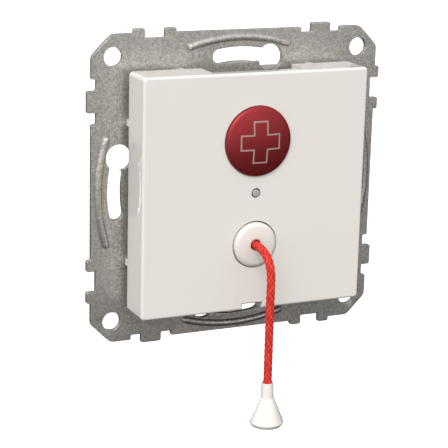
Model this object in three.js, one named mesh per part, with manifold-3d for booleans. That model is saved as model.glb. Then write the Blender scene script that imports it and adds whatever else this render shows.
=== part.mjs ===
// Flush-mounted call unit with a push button and a pull cord, as separate pieces.
// Millimetres. +X to the right, +Z up, the wall is the plane Y = 0 and the room is at -Y.
// The origin is the centre of the mounting plate's rear face, which lies on the wall.
import * as THREE from "three";
import { mergeVertices } from "three/addons/utils/BufferGeometryUtils.js";
import Module from "manifold-3d";

const wasm = await Module();
wasm.setup();

// ---- Driving dimensions -------------------------------------------------------------------
const GAP = 0.3; // clearance between neighbouring pieces
const ROOM_SIDE = -60; // where a cut that opens towards the room starts
const WALL_SIDE = 60; // where a cut that opens towards the wall ends

const PLATE_HALF = 35.5; // the 71 mm module of this kind of insert
const PLATE_T = 1.2;
const PLATE_FRONT = -PLATE_T;
const CORNER_CHAMFER = 4.7;
const TAB_OUT = 1.0;
const NOTCH_IN = 1.15;
const CORNER_HOLE = { at: 30.5, r: 2.15 };
const SLOT = { radius: 30, width: 3.3, from: -9.4, to: 15 }; // degrees clockwise from the side's middle
const KEYHOLE_R = 3.05;
const RIB = { crest: 33.9, bend: 41, halfLength: 13.1, width: 1.5, height: 0.7, rounding: 0.35, skin: 0.6 };
const PLATE_OPENING = { halfX: 19, halfZ: 22, r: 4 };
const SEAT = { margin: 0.5, depth: 0.15 }; // shallow recess behind the plate where the housing lies

const COVER_HALF = 27.5;
const COVER_FRONT = -12.2;
const COVER_REAR = -3.3;
const COVER_FACE_T = 1.8;
const COVER_WALL_T = 1.6;
const COVER_INSIDE = COVER_FRONT + COVER_FACE_T;
const COVER_EDGE_R = 0.6;
const COVER_CORNER_R = 0.9;
const WINDOW = { x0: -10.4, x1: 12.3, front: -9.5 };
const NOTCH = { x0: -2.6, x1: 2.4, top: -26.1 };
const FOOT = { length: 1.5, inset: 0.1, width: 1.2, alongX: [-14.7, 17.4], alongZ: [-16.4, 15.8] };
const LATCH = { alongZ: 14, halfWidth: 2.5, armT: 1.1, front: -7.2, hook: 0.9, hookRear: -5.9 };
const CATCH = { halfWidth: 3, reach: 0.7, front: -5.4, rear: -4.6 };

const BUTTON_Z = 12;
const BUTTON_R = 8;
const LENS_R = 0.85;
const CORD_Z = -12;
const BUSHING_R = 5.2;
const BUSHING_CROWN = -13.2;
const CORD_R = 1.0;
const CORD_BORE_R = CORD_R + GAP;
const CORD_HANG_Y = -21.2;
const HANDLE_TOP = -42.3;

const CARRIER_HALF = 24.4;
const CARRIER_CORNER_R = 4;
const CARRIER_FRONT = -3.0;
const CARRIER_REAR = PLATE_FRONT - GAP;
const TRAY = { halfX: 21, halfZ: 24.8, r: 5, rear: 13.5 }; // the housing's wider front part
const WELL = { halfX: 17.8, halfZ: 23.4, r: 3, rear: 22 }; // its narrower rear part
const HOUSING_WALL = 1.6;
const BOARD_FRONT = 10;
const BOARD_REAR = 11.6;
const SCREW_AT = { x: 14.6, z: 18.5 };
const SCREW_SHANK_R = 1.2;
const TERMINALS = 4;
const TERMINAL_PITCH = 5.08;

const ROUND = 32; // sides of a round piece that shows
const SMALL_ROUND = 16; // sides of a small or hidden round piece
const TINY_ROUND = 14; // sides of a pin
const KEYHOLE_SIDES = 24;
const CORNER_SIDES = 20;

// ---- Helpers --------------------------------------------------------------------------------
const root = new THREE.Group();

function finish(color, roughness, metalness) {
  return new THREE.MeshStandardMaterial({ color, roughness, metalness });
}

const COLOURS = {
  zincSteel: finish(0xaaa59e, 0.45, 0.85),
  whitePlastic: finish(0xe8e4de, 0.3, 0),
  redGloss: finish(0xa8333c, 0.3, 0.1),
  clearLens: finish(0xc9c9c6, 0.2, 0),
  redCord: finish(0xd6402f, 0.85, 0),
  greyPlastic: finish(0xb9b7b1, 0.5, 0),
  naturalPlastic: finish(0xdad6c8, 0.55, 0),
  blackPlastic: finish(0x2b2c2e, 0.5, 0),
  greenBoard: finish(0x2f6a45, 0.5, 0),
  greenTerminal: finish(0x3f8f5b, 0.5, 0),
  springSteel: finish(0xb4b4b2, 0.3, 0.95),
  nickel: finish(0xc2bdb0, 0.35, 0.9),
};

function solidOf(geometry) {
  const bare = geometry.index ? geometry.toNonIndexed() : geometry.clone();
  bare.deleteAttribute("normal");
  bare.deleteAttribute("uv");
  const merged = mergeVertices(bare, 1e-4);
  const mesh = new wasm.Mesh({
    numProp: 3,
    vertProperties: merged.attributes.position.array,
    triVerts: new Uint32Array(merged.index.array),
  });
  return new wasm.Manifold(mesh);
}

function geometryOf(solid) {
  const mesh = solid.getMesh();
  const geometry = new THREE.BufferGeometry();
  geometry.setAttribute("position", new THREE.BufferAttribute(mesh.vertProperties, 3));
  geometry.setIndex(new THREE.BufferAttribute(mesh.triVerts, 1));
  geometry.computeVertexNormals();
  return geometry;
}

function join(...solids) {
  return solids.reduce((whole, solid) => whole.add(solid));
}

function cut(whole, ...tools) {
  return tools.reduce((rest, tool) => rest.subtract(tool), whole);
}

function piece(name, solid, material) {
  const mesh = new THREE.Mesh(geometryOf(solid), material);
  mesh.name = name;
  root.add(mesh);
}

function block(x, y, z) {
  const geometry = new THREE.BoxGeometry(x[1] - x[0], y[1] - y[0], z[1] - z[0]);
  geometry.translate((x[0] + x[1]) / 2, (y[0] + y[1]) / 2, (z[0] + z[1]) / 2);
  return solidOf(geometry);
}

// A flat outline drawn as seen from the room (x right, z up), given its thickness along Y.
function slab(shape, yFront, yRear, curveSegments = 3, bevel = null) {
  const inset = bevel ? bevel.bevelThickness : 0;
  const options = { depth: yRear - yFront - 2 * inset, curveSegments, bevelEnabled: false, ...bevel };
  const geometry = new THREE.ExtrudeGeometry(shape, options);
  geometry.rotateX(Math.PI / 2);
  geometry.translate(0, yRear - inset, 0);
  return solidOf(geometry);
}

// A turned piece on an axis along Y at (x, z). The profile is [radius, y] from rear to front.
function turned(profile, x, z, segments = ROUND) {
  const points = profile.map(([r, y]) => new THREE.Vector2(r, -y));
  const geometry = new THREE.LatheGeometry(points, segments);
  geometry.rotateX(Math.PI);
  geometry.translate(x, 0, z);
  return solidOf(geometry);
}

function rod(r, yFront, yRear, x, z, segments = SMALL_ROUND) {
  return turned([[0, yRear], [r, yRear], [r, yFront], [0, yFront]], x, z, segments);
}

function roundedRectangle(halfX, halfZ, r, x = 0, z = 0) {
  const shape = new THREE.Shape();
  shape.absarc(x + halfX - r, z + halfZ - r, r, 0, Math.PI / 2);
  shape.absarc(x - halfX + r, z + halfZ - r, r, Math.PI / 2, Math.PI);
  shape.absarc(x - halfX + r, z - halfZ + r, r, Math.PI, 1.5 * Math.PI);
  shape.absarc(x + halfX - r, z - halfZ + r, r, 1.5 * Math.PI, 2 * Math.PI);
  return shape;
}

// A closed outline of [x, z, corner radius] with its corners rounded.
function roundedOutline(corners) {
  const shape = new THREE.Shape();
  const at = corners.map(([x, z]) => new THREE.Vector2(x, z));
  corners.forEach(([, , r], i) => {
    const corner = at[i];
    const before = at[(i + at.length - 1) % at.length];
    const after = at[(i + 1) % at.length];
    const start = before.clone().sub(corner).setLength(r).add(corner);
    const end = after.clone().sub(corner).setLength(r).add(corner);
    if (i === 0) shape.moveTo(start.x, start.y);
    else shape.lineTo(start.x, start.y);
    shape.quadraticCurveTo(corner.x, corner.y, end.x, end.y);
  });
  return shape;
}

// Quarter turns clockwise, as seen from the room, carry the top side to the right and so on.
function clockwise([x, z], turns) {
  return turns ? clockwise([z, -x], turns - 1) : [x, z];
}

function onEachSide(make) {
  return [0, 1, 2, 3].map((turns) => solidOf(geometryOf(make()).rotateY((turns * Math.PI) / 2)));
}

function onEachScrew(make) {
  return [-1, 1].flatMap((sx) => [1, -1].map((sz) => make(sx * SCREW_AT.x, sz * SCREW_AT.z)));
}

// A band between two distances from the middle, on either side of it.
function sided(side, near, far) {
  return side > 0 ? [near, far] : [-far, -near];
}

function around(middle, half) {
  return [middle - half, middle + half];
}

// ---- Mounting plate ---------------------------------------------------------------------------
// One side of the outline as [place along the side, height over the side, corner radius].
const SIDE_OUTLINE = [
  [-25.7, 0, 0.3],
  [-25.7, TAB_OUT, 0.5],
  [-23, TAB_OUT, 0.5],
  [-23, -NOTCH_IN, 0.3],
  [-18.2, -NOTCH_IN, 0.3],
  [-18.2, TAB_OUT, 0.5],
  [-15.5, TAB_OUT, 0.5],
  [-15.5, 0, 0.3],
  [15.6, 0, 0.4],
  [15.6, -NOTCH_IN, 0.3],
  [18.2, -NOTCH_IN, 0.3],
  [18.2, TAB_OUT, 0.5],
  [23.1, TAB_OUT, 0.5],
  [23.1, -NOTCH_IN, 0.3],
  [25.7, -NOTCH_IN, 0.3],
  [25.7, 0, 0.4],
];

function plateOutline() {
  const corners = [];
  const straight = PLATE_HALF - CORNER_CHAMFER;
  for (let turns = 0; turns < 4; turns++) {
    const side = [[-straight, 0, 1], ...SIDE_OUTLINE, [straight, 0, 1]];
    for (const [along, height, r] of side) {
      const [x, z] = clockwise([along, PLATE_HALF + height], turns);
      corners.push([x, z, r]);
    }
  }
  return roundedOutline(corners.reverse());
}

// A band with round ends that follows an arc about (0, centreZ), its angles clockwise from up.
function arcBand(centreZ, radius, width, fromAngle, toAngle) {
  const shape = new THREE.Shape();
  const a0 = Math.PI / 2 - fromAngle;
  const a1 = Math.PI / 2 - toAngle;
  const half = width / 2;
  const endAt = (a) => [radius * Math.cos(a), centreZ + radius * Math.sin(a)];
  shape.absarc(0, centreZ, radius + half, a1, a0);
  shape.absarc(...endAt(a0), half, a0, a0 + Math.PI);
  shape.absarc(0, centreZ, radius - half, a0, a1, true);
  shape.absarc(...endAt(a1), half, a1 + Math.PI, a1 + 2 * Math.PI);
  return shape;
}

function screwSlot() {
  const from = THREE.MathUtils.degToRad(SLOT.from);
  const to = THREE.MathUtils.degToRad(SLOT.to);
  const outline = arcBand(0, SLOT.radius, SLOT.width, from, to);
  const band = slab(outline, ROOM_SIDE, WALL_SIDE, 6);
  const x = SLOT.radius * Math.sin(to);
  const z = SLOT.radius * Math.cos(to);
  return join(band, rod(KEYHOLE_R, ROOM_SIDE, WALL_SIDE, x, z, KEYHOLE_SIDES));
}

function rib(width, yFront, yRear, rounding) {
  const angle = Math.asin(RIB.halfLength / RIB.bend);
  const bevel = {
    bevelEnabled: true,
    bevelThickness: rounding,
    bevelSize: rounding,
    bevelOffset: -rounding,
    bevelSegments: 1,
  };
  const shape = arcBand(RIB.crest - RIB.bend, RIB.bend, width, -angle, angle);
  return slab(shape, yFront, yRear, 3, bevel);
}

function mountingPlate() {
  const { halfX, halfZ, r } = PLATE_OPENING;
  const corner = CORNER_HOLE;
  const blank = slab(plateOutline(), PLATE_FRONT, 0, 1);
  const opening = slab(roundedRectangle(halfX, halfZ, r), ROOM_SIDE, WALL_SIDE);
  const ribs = onEachSide(() => rib(RIB.width, PLATE_FRONT - RIB.height, -RIB.height, RIB.rounding));
  const hollows = onEachSide(() => rib(RIB.width - RIB.skin, -RIB.height, WALL_SIDE, RIB.skin / 3));
  const holes = onEachSide(() => rod(corner.r, ROOM_SIDE, WALL_SIDE, corner.at, corner.at, CORNER_SIDES));
  const seatOutline = roundedRectangle(TRAY.halfX + SEAT.margin, TRAY.halfZ + SEAT.margin, TRAY.r);
  const seat = slab(seatOutline, -SEAT.depth, WALL_SIDE, 4);
  const slots = onEachSide(screwSlot);
  return cut(join(blank, ...ribs), opening, seat, ...hollows, ...holes, ...slots);
}

piece("mounting_plate", mountingPlate(), COLOURS.zincSteel);

// ---- Centre plate, the cover ------------------------------------------------------------------
function centrePlate() {
  const rounding = {
    bevelEnabled: true,
    bevelThickness: COVER_EDGE_R,
    bevelSize: COVER_EDGE_R,
    bevelOffset: -COVER_EDGE_R,
    bevelSegments: 3,
  };
  const outline = roundedRectangle(COVER_HALF, COVER_HALF, COVER_CORNER_R);
  const body = slab(outline, COVER_FRONT, 0, 2, rounding);
  const inside = COVER_HALF - COVER_WALL_T;
  const insideOutline = roundedRectangle(inside, inside, COVER_CORNER_R - 0.1);
  const cavity = slab(insideOutline, COVER_INSIDE, WALL_SIDE, 1);
  const beyond = around(0, COVER_HALF + 1);
  const behind = block(beyond, [COVER_REAR, WALL_SIDE], beyond);
  const windows = [1, -1].map((side) => {
    const throughWall = sided(side, inside - 1, COVER_HALF + 1);
    return block([WINDOW.x0, WINDOW.x1], [WINDOW.front, WALL_SIDE], throughWall);
  });
  const throughEdge = [-COVER_HALF - 1, NOTCH.top];
  const notch = block([NOTCH.x0, NOTCH.x1], [ROOM_SIDE, WINDOW.front + 1], throughEdge);
  const buttonHole = rod(BUTTON_R + GAP, ROOM_SIDE, WALL_SIDE, 0, BUTTON_Z, ROUND);
  const lensHole = rod(LENS_R + GAP, ROOM_SIDE, WALL_SIDE, 0, 0);
  const bushingHole = rod(BUSHING_R + GAP, ROOM_SIDE, WALL_SIDE, 0, CORD_Z, ROUND);
  const shell = cut(body, cavity, behind, ...windows, notch, buttonHole, lensHole, bushingHole);
  return join(shell, ...coverFeet(), ...coverCatches());
}

// Small feet on the walls' rear edges, which keep the cover off the mounting plate.
function coverFeet() {
  const y = [COVER_REAR - 0.5, CARRIER_REAR];
  const outer = COVER_HALF - FOOT.inset;
  return [1, -1].flatMap((side) => {
    const wall = sided(side, outer - FOOT.width, outer);
    const onTopOrBottom = FOOT.alongX.map((x) => block(around(x, FOOT.length / 2), y, wall));
    const onSide = FOOT.alongZ.map((z) => block(wall, y, around(z, FOOT.length / 2)));
    return [...onTopOrBottom, ...onSide];
  });
}

// Ribs inside the side walls that snap behind the carrier's latch arms.
function coverCatches() {
  const inner = COVER_HALF - COVER_WALL_T;
  return [1, -1].flatMap((side) => {
    const x = sided(side, inner - CATCH.reach, inner + 0.2);
    const y = [CATCH.front, CATCH.rear];
    return [-1, 1].map((end) => block(x, y, around(end * LATCH.alongZ, CATCH.halfWidth)));
  });
}

piece("centre_plate", centrePlate(), COLOURS.whitePlastic);

// ---- Front carrier ----------------------------------------------------------------------------
const GUIDE = { r: 3.2, bore: 2.3, front: -5.2 };
const SPRING_TUBE = { r: 5.4, bore: 4.3, front: -9.0, inside: -8.2, mouth: 1.5 };
const LIGHT_PIPE_R = 1.5;

function frontCarrier() {
  const outline = roundedRectangle(CARRIER_HALF, CARRIER_HALF, CARRIER_CORNER_R);
  const flange = slab(outline, CARRIER_FRONT, CARRIER_REAR);
  const guide = rod(GUIDE.r, GUIDE.front, CARRIER_REAR, 0, BUTTON_Z);
  const guideBore = rod(GUIDE.bore, ROOM_SIDE, WALL_SIDE, 0, BUTTON_Z);
  const springTube = rod(SPRING_TUBE.r, SPRING_TUBE.front, CARRIER_REAR, 0, CORD_Z, ROUND);
  const springBore = rod(SPRING_TUBE.bore, SPRING_TUBE.inside, WALL_SIDE, 0, CORD_Z, ROUND);
  const cordBore = rod(SPRING_TUBE.mouth, ROOM_SIDE, WALL_SIDE, 0, CORD_Z);
  const lightBore = rod(LIGHT_PIPE_R + GAP, ROOM_SIDE, WALL_SIDE, 0, 0);
  const screwHoles = onEachScrew((x, z) => rod(SCREW_SHANK_R + 0.4, ROOM_SIDE, WALL_SIDE, x, z));
  const arms = [1, -1].flatMap((side) => [-1, 1].map((end) => latchArm(side, end * LATCH.alongZ)));
  const whole = join(flange, guide, springTube, ...arms);
  return cut(whole, guideBore, springBore, cordBore, lightBore, ...screwHoles);
}

// A springy arm with a hooked end that holds the cover by its inner rib.
function latchArm(side, z) {
  const inner = CARRIER_HALF - LATCH.armT;
  const arm = sided(side, inner, CARRIER_HALF);
  const hook = sided(side, inner, CARRIER_HALF + LATCH.hook);
  const width = around(z, LATCH.halfWidth);
  return join(
    block(arm, [LATCH.front, CARRIER_FRONT + 0.5], width),
    block(hook, [LATCH.front, LATCH.hookRear], width),
  );
}

piece("front_carrier", frontCarrier(), COLOURS.greyPlastic);

// ---- Rear housing -----------------------------------------------------------------------------
const BLOCK_HALF = { x: (TERMINALS * TERMINAL_PITCH) / 2 + 0.3, z: 4.5 };
const BOARD_SCREWS = [[-8, -19], [8, 19]];
const BOSS = { r: 2.9, bore: 1.5, depth: 13 };
const POST = { r: 2.4, bore: 1.2, depth: 18 };

// A wide tray for the board and switches, and a narrower well behind it for the terminals. The
// step between them leaves room for the wall box's screws.
function rearHousing() {
  const front = GAP;
  const wall = HOUSING_WALL;
  const floor = WELL.rear - wall;
  const part = ({ halfX, halfZ, r }, inset, yFront, yRear) => {
    return slab(roundedRectangle(halfX - inset, halfZ - inset, r - inset), yFront, yRear, 4);
  };
  const body = join(part(TRAY, 0, front, TRAY.rear), part(WELL, 0, front, WELL.rear));
  const cavity = join(part(TRAY, wall, ROOM_SIDE, TRAY.rear - wall), part(WELL, wall, ROOM_SIDE, floor));
  const bosses = onEachScrew((x, z) => rod(BOSS.r, front, floor + 0.5, x, z));
  const posts = BOARD_SCREWS.map(([x, z]) => rod(POST.r, BOARD_REAR + GAP, floor + 0.5, x, z));
  const bossHoles = onEachScrew((x, z) => rod(BOSS.bore, ROOM_SIDE, BOSS.depth, x, z));
  const postHoles = BOARD_SCREWS.map(([x, z]) => rod(POST.bore, BOARD_REAR, POST.depth, x, z));
  const openingOutline = roundedRectangle(BLOCK_HALF.x + 0.4, BLOCK_HALF.z + 0.4, 0.6);
  const opening = slab(openingOutline, floor - 1, WALL_SIDE, 1);
  const shell = join(cut(body, cavity), ...bosses, ...posts);
  return cut(shell, ...bossHoles, ...postHoles, opening);
}

piece("rear_housing", rearHousing(), COLOURS.greyPlastic);

// ---- Screws that clamp the plate between carrier and housing --------------------------------------
function crossHeadScrew(headR, headH, shankR, headFront, length, x, z) {
  const headRear = headFront + headH;
  const profile = [
    [0, headRear + length],
    [shankR, headRear + length - shankR],
    [shankR, headRear],
    [headR, headRear],
    [headR, headFront + 0.5],
    [headR - 0.5, headFront],
    [0, headFront],
  ];
  const arm = headR * 0.55;
  const halfSlot = 0.3;
  const depth = [ROOM_SIDE, headFront + headH * 0.6];
  return cut(
    turned(profile, x, z, SMALL_ROUND),
    block(around(x, arm), depth, around(z, halfSlot)),
    block(around(x, halfSlot), depth, around(z, arm)),
  );
}

const HOUSING_SCREW = { headR: 2.6, headH: 1.7, length: 13 };
const BOARD_SCREW = { headR: 2, headH: 1.3, shankR: 0.9, length: 6 };
const BOARD_ARM = { x: 19.1, z: 22.9 }; // half the board's width and height

function housingScrew(x, z) {
  const { headR, headH, length } = HOUSING_SCREW;
  const headFront = CARRIER_FRONT - GAP - headH;
  return crossHeadScrew(headR, headH, SCREW_SHANK_R, headFront, length, x, z);
}

onEachScrew(housingScrew).forEach((screw, i) => {
  piece("housing_screw_" + (i + 1), screw, COLOURS.nickel);
});

// ---- Circuit board and what is soldered to it ---------------------------------------------------
// A cross-shaped board, which clears the housing's four screw bosses.
function circuitBoard() {
  const armX = BOARD_ARM.x;
  const armZ = BOARD_ARM.z;
  const endX = SCREW_AT.x - BOSS.r - GAP;
  const endZ = SCREW_AT.z - BOSS.r - GAP;
  const corners = [
    [endX, armZ], [endX, endZ], [armX, endZ], [armX, -endZ], [endX, -endZ], [endX, -armZ],
    [-endX, -armZ], [-endX, -endZ], [-armX, -endZ], [-armX, endZ], [-endX, endZ], [-endX, armZ],
  ];
  const shape = roundedOutline(corners.map(([x, z]) => [x, z, 0.8]).reverse());
  const board = slab(shape, BOARD_FRONT, BOARD_REAR, 1);
  const hole = BOARD_SCREW.shankR + 0.4;
  return cut(board, ...BOARD_SCREWS.map(([x, z]) => rod(hole, ROOM_SIDE, WALL_SIDE, x, z)));
}

piece("circuit_board", circuitBoard(), COLOURS.greenBoard);
BOARD_SCREWS.forEach(([x, z], i) => {
  const { headR, headH, shankR, length } = BOARD_SCREW;
  const screw = crossHeadScrew(headR, headH, shankR, BOARD_FRONT - GAP - headH, length, x, z);
  piece("board_screw_" + (i + 1), screw, COLOURS.nickel);
});

const ON_BOARD = BOARD_FRONT - GAP; // rear of everything that stands on the board
const CALL_SWITCH = { half: 3, front: 6.3, tip: 5.0, plungerR: 1.5, plungerRear: 7.6, wellRear: 8.8 };

function callSwitch() {
  const { half, front, plungerR, wellRear } = CALL_SWITCH;
  const body = slab(roundedRectangle(half, half, 0.4, 0, BUTTON_Z), front, ON_BOARD, 1);
  return cut(body, rod(plungerR + GAP, ROOM_SIDE, wellRear, 0, BUTTON_Z));
}

function callSwitchPlunger() {
  return rod(CALL_SWITCH.plungerR, CALL_SWITCH.tip, CALL_SWITCH.plungerRear, 0, BUTTON_Z);
}

piece("call_switch", callSwitch(), COLOURS.blackPlastic);
piece("call_switch_plunger", callSwitchPlunger(), COLOURS.redGloss);

const LED_TIP = 5.4;
const LED_PROFILE = [
  [0, ON_BOARD],
  [1.9, ON_BOARD],
  [1.9, ON_BOARD - 1],
  [1.5, ON_BOARD - 1],
  [1.5, LED_TIP + 1.1],
  [1.1, LED_TIP + 0.35],
  [0.5, LED_TIP],
  [0, LED_TIP],
];
piece("status_led", turned(LED_PROFILE, 0, 0, SMALL_ROUND), COLOURS.clearLens);

const LIGHT_PIPE_PROFILE = [
  [0, LED_TIP - GAP],
  [LIGHT_PIPE_R, LED_TIP - GAP],
  [LIGHT_PIPE_R, COVER_INSIDE + GAP],
  [LENS_R, COVER_INSIDE + GAP],
  [LENS_R, COVER_FRONT + 0.1],
  [LENS_R * 0.6, COVER_FRONT - 0.1],
  [0, COVER_FRONT - 0.15],
];
piece("light_pipe", turned(LIGHT_PIPE_PROFILE, 0, 0, SMALL_ROUND), COLOURS.clearLens);

// ---- Terminal block on the back of the board ------------------------------------------------------
const BLOCK = { front: BOARD_REAR + GAP, rear: 23.5 };
const CLAMP = { z: -1.9, halfX: 1.7, halfZ: 1.5, rear: 22.4, front: 15.5, wall: 0.4, floor: 0.6 };
const TERMINAL_SCREW = { z: 2.2, r: 1.5, front: 16.5, rear: 22.9, slotDepth: 0.7, halfSlot: 0.25 };

function terminalX(i) {
  return (i - (TERMINALS - 1) / 2) * TERMINAL_PITCH;
}

function terminalBlock() {
  const { x, z } = BLOCK_HALF;
  const body = block([-x, x], [BLOCK.front, BLOCK.rear], [-z, z]);
  const pockets = [];
  for (let i = 0; i < TERMINALS; i++) {
    const at = terminalX(i);
    const { r, z: screwZ, front: screwFront } = TERMINAL_SCREW;
    const clampX = around(at, CLAMP.halfX + GAP);
    const clampZ = around(CLAMP.z, CLAMP.halfZ + GAP);
    pockets.push(block(clampX, [CLAMP.front - GAP, WALL_SIDE], clampZ));
    pockets.push(rod(r + GAP, screwFront - 0.5, WALL_SIDE, at, screwZ));
  }
  return cut(body, ...pockets);
}

// A square wire cage, open at the rear where the conductor goes in.
function terminalClamp(x) {
  const { z, halfX, halfZ, front, rear, wall, floor } = CLAMP;
  const cage = block(around(x, halfX), [front, rear], around(z, halfZ));
  const throat = block(around(x, halfX - wall), [front + floor, WALL_SIDE], around(z, halfZ - wall));
  return cut(cage, throat);
}

function terminalScrew(x) {
  const { r, z, front, rear, slotDepth, halfSlot } = TERMINAL_SCREW;
  const slot = block(around(x, r + 1), [rear - slotDepth, WALL_SIDE], around(z, halfSlot));
  return cut(rod(r, front, rear, x, z), slot);
}

piece("terminal_block", terminalBlock(), COLOURS.greenTerminal);
for (let i = 0; i < TERMINALS; i++) {
  piece("terminal_clamp_" + (i + 1), terminalClamp(terminalX(i)), COLOURS.nickel);
  piece("terminal_screw_" + (i + 1), terminalScrew(terminalX(i)), COLOURS.nickel);
}

// ---- Call button ------------------------------------------------------------------------------
const BUTTON_RIM = COVER_FRONT - 0.5;
const BUTTON_CROWN = COVER_FRONT - 1.8;
const BUTTON_EDGE = 0.25;
const BUTTON_FLANGE = { r: 9.1, front: COVER_INSIDE + GAP, rear: -9.3 };
const PUSHER = { disc: -9.0, discRear: -8.2, discR: 5.5, rodR: 2.0, end: CALL_SWITCH.tip - GAP };

// Points of a shallow dome from its rim to its crown, on an arc through both.
function domeProfile(rimR, rimY, crownY, steps) {
  const rise = rimY - crownY;
  const radius = (rimR * rimR + rise * rise) / (2 * rise);
  const points = [];
  for (let i = 1; i <= steps; i++) {
    const r = rimR * (1 - i / steps);
    points.push([r, crownY + radius - Math.sqrt(radius * radius - r * r)]);
  }
  return points;
}

// The cap is hollow behind, with a ring rib that the pusher's disc bears on.
const CAP_HOLLOW = { rear: -11.3, ribInner: 2.6, ribOuter: 3.6, r: 6.6 };
const BUTTON_PROFILE = [
  [0, CAP_HOLLOW.rear],
  [CAP_HOLLOW.ribInner, CAP_HOLLOW.rear],
  [CAP_HOLLOW.ribInner, BUTTON_FLANGE.rear],
  [CAP_HOLLOW.ribOuter, BUTTON_FLANGE.rear],
  [CAP_HOLLOW.ribOuter, CAP_HOLLOW.rear],
  [CAP_HOLLOW.r, CAP_HOLLOW.rear],
  [CAP_HOLLOW.r, BUTTON_FLANGE.rear],
  [BUTTON_FLANGE.r, BUTTON_FLANGE.rear],
  [BUTTON_FLANGE.r, BUTTON_FLANGE.front],
  [BUTTON_R, BUTTON_FLANGE.front],
  [BUTTON_R, BUTTON_RIM],
  [BUTTON_R - BUTTON_EDGE, BUTTON_RIM - BUTTON_EDGE],
  ...domeProfile(BUTTON_R - BUTTON_EDGE, BUTTON_RIM - BUTTON_EDGE, BUTTON_CROWN, 6),
];
piece("call_button", turned(BUTTON_PROFILE, 0, BUTTON_Z), COLOURS.redGloss);

const PUSHER_PROFILE = [
  [0, PUSHER.end],
  [PUSHER.rodR, PUSHER.end],
  [PUSHER.rodR, PUSHER.discRear],
  [PUSHER.discR, PUSHER.discRear],
  [PUSHER.discR, PUSHER.disc],
  [0, PUSHER.disc],
];
piece("button_pusher", turned(PUSHER_PROFILE, 0, BUTTON_Z, SMALL_ROUND), COLOURS.naturalPlastic);

// ---- Coil springs -----------------------------------------------------------------------------
class Helix extends THREE.Curve {
  constructor(radius, y0, y1, turns) {
    super();
    Object.assign(this, { radius, y0, y1, turns });
  }
  getPoint(t, target = new THREE.Vector3()) {
    const angle = 2 * Math.PI * this.turns * t;
    const y = THREE.MathUtils.lerp(this.y0, this.y1, t);
    return target.set(this.radius * Math.cos(angle), y, this.radius * Math.sin(angle));
  }
}

function coilSpring({ r, wireR, front, rear, turns }, z) {
  const wire = new THREE.Shape();
  wire.absarc(0, 0, wireR, 0, 2 * Math.PI);
  const path = new Helix(r, front + wireR, rear - wireR, turns);
  const geometry = new THREE.ExtrudeGeometry(wire, {
    steps: turns * 12,
    curveSegments: 3,
    bevelEnabled: false,
    extrudePath: path,
  });
  geometry.translate(0, 0, z);
  return solidOf(geometry);
}

const BUTTON_COIL = {
  r: 4.1,
  wireR: 0.3,
  turns: 4,
  front: PUSHER.discRear + GAP,
  rear: CARRIER_FRONT - GAP,
};
const PULL_COIL = { r: 3.25, wireR: 0.35, turns: 6, front: SPRING_TUBE.inside + GAP, rear: 0.5 };
piece("button_spring", coilSpring(BUTTON_COIL, BUTTON_Z), COLOURS.springSteel);
piece("pull_spring", coilSpring(PULL_COIL, CORD_Z), COLOURS.springSteel);

// ---- Cord bushing -----------------------------------------------------------------------------
const BUSHING_RIM = COVER_FRONT - 0.15;
const BUSHING_FLANGE = { r: 6.6, rear: -9.3 };
const BUSHING_PROFILE = [
  [CORD_BORE_R, BUSHING_FLANGE.rear],
  [BUSHING_FLANGE.r, BUSHING_FLANGE.rear],
  [BUSHING_FLANGE.r, COVER_INSIDE + GAP],
  [BUSHING_R, COVER_INSIDE + GAP],
  [BUSHING_R, BUSHING_RIM],
  [BUSHING_R - 0.2, BUSHING_RIM - 0.3],
  [BUSHING_R - 0.7, BUSHING_RIM - 0.55],
  [3.4, BUSHING_CROWN + 0.1],
  [1.7, BUSHING_CROWN],
  [CORD_BORE_R, BUSHING_CROWN + 0.3],
  [CORD_BORE_R, BUSHING_FLANGE.rear],
];
piece("cord_bushing", turned(BUSHING_PROFILE, 0, CORD_Z), COLOURS.whitePlastic);

// ---- Pull slider ------------------------------------------------------------------------------
const SLIDER = { front: -5.6, flange: 0.8, flangeRear: 2.0, rear: 5.0, shaftR: 2.2, flangeR: 5.2 };
const KNOT_POCKET = { bore: 2.4, r: 3.2 };
const SLIDER_ARM = { x: [4.2, 7.2], halfZ: 2 };
const SLIDER_PROFILE = [
  [CORD_BORE_R, SLIDER.flangeRear],
  [KNOT_POCKET.bore, SLIDER.flangeRear],
  [KNOT_POCKET.bore, SLIDER.rear],
  [KNOT_POCKET.r, SLIDER.rear],
  [KNOT_POCKET.r, SLIDER.flangeRear],
  [SLIDER.flangeR, SLIDER.flangeRear],
  [SLIDER.flangeR, SLIDER.flange],
  [SLIDER.shaftR, SLIDER.flange],
  [SLIDER.shaftR, SLIDER.front],
  [CORD_BORE_R, SLIDER.front],
  [CORD_BORE_R, SLIDER.flangeRear],
];

function pullSlider() {
  const arm = block(SLIDER_ARM.x, [SLIDER.flange, SLIDER.flangeRear], around(CORD_Z, SLIDER_ARM.halfZ));
  return join(turned(SLIDER_PROFILE, 0, CORD_Z), arm);
}

piece("pull_slider", pullSlider(), COLOURS.naturalPlastic);

// ---- Pull switch with its lever -------------------------------------------------------------------
const PULL_SWITCH = { x: [5.6, 18.8], front: 4.0, halfZ: 2.9 };
const EAR = { x: [17.2, 18.8], y: [1.6, 4.2], thickness: 0.6, bore: 0.8 };
const LEVER = { pivotX: 18, y: 2.5, halfT: 0.2, tipX: 5.2, halfZ: 1.9, eyeR: 0.85, eyeBore: 0.6 };
const LEVER_PIN_R = 0.45;
const SWITCH_PLUNGER = { x: 13, r: 0.8, rear: 5.6, wellRear: 6.6 };

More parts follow.
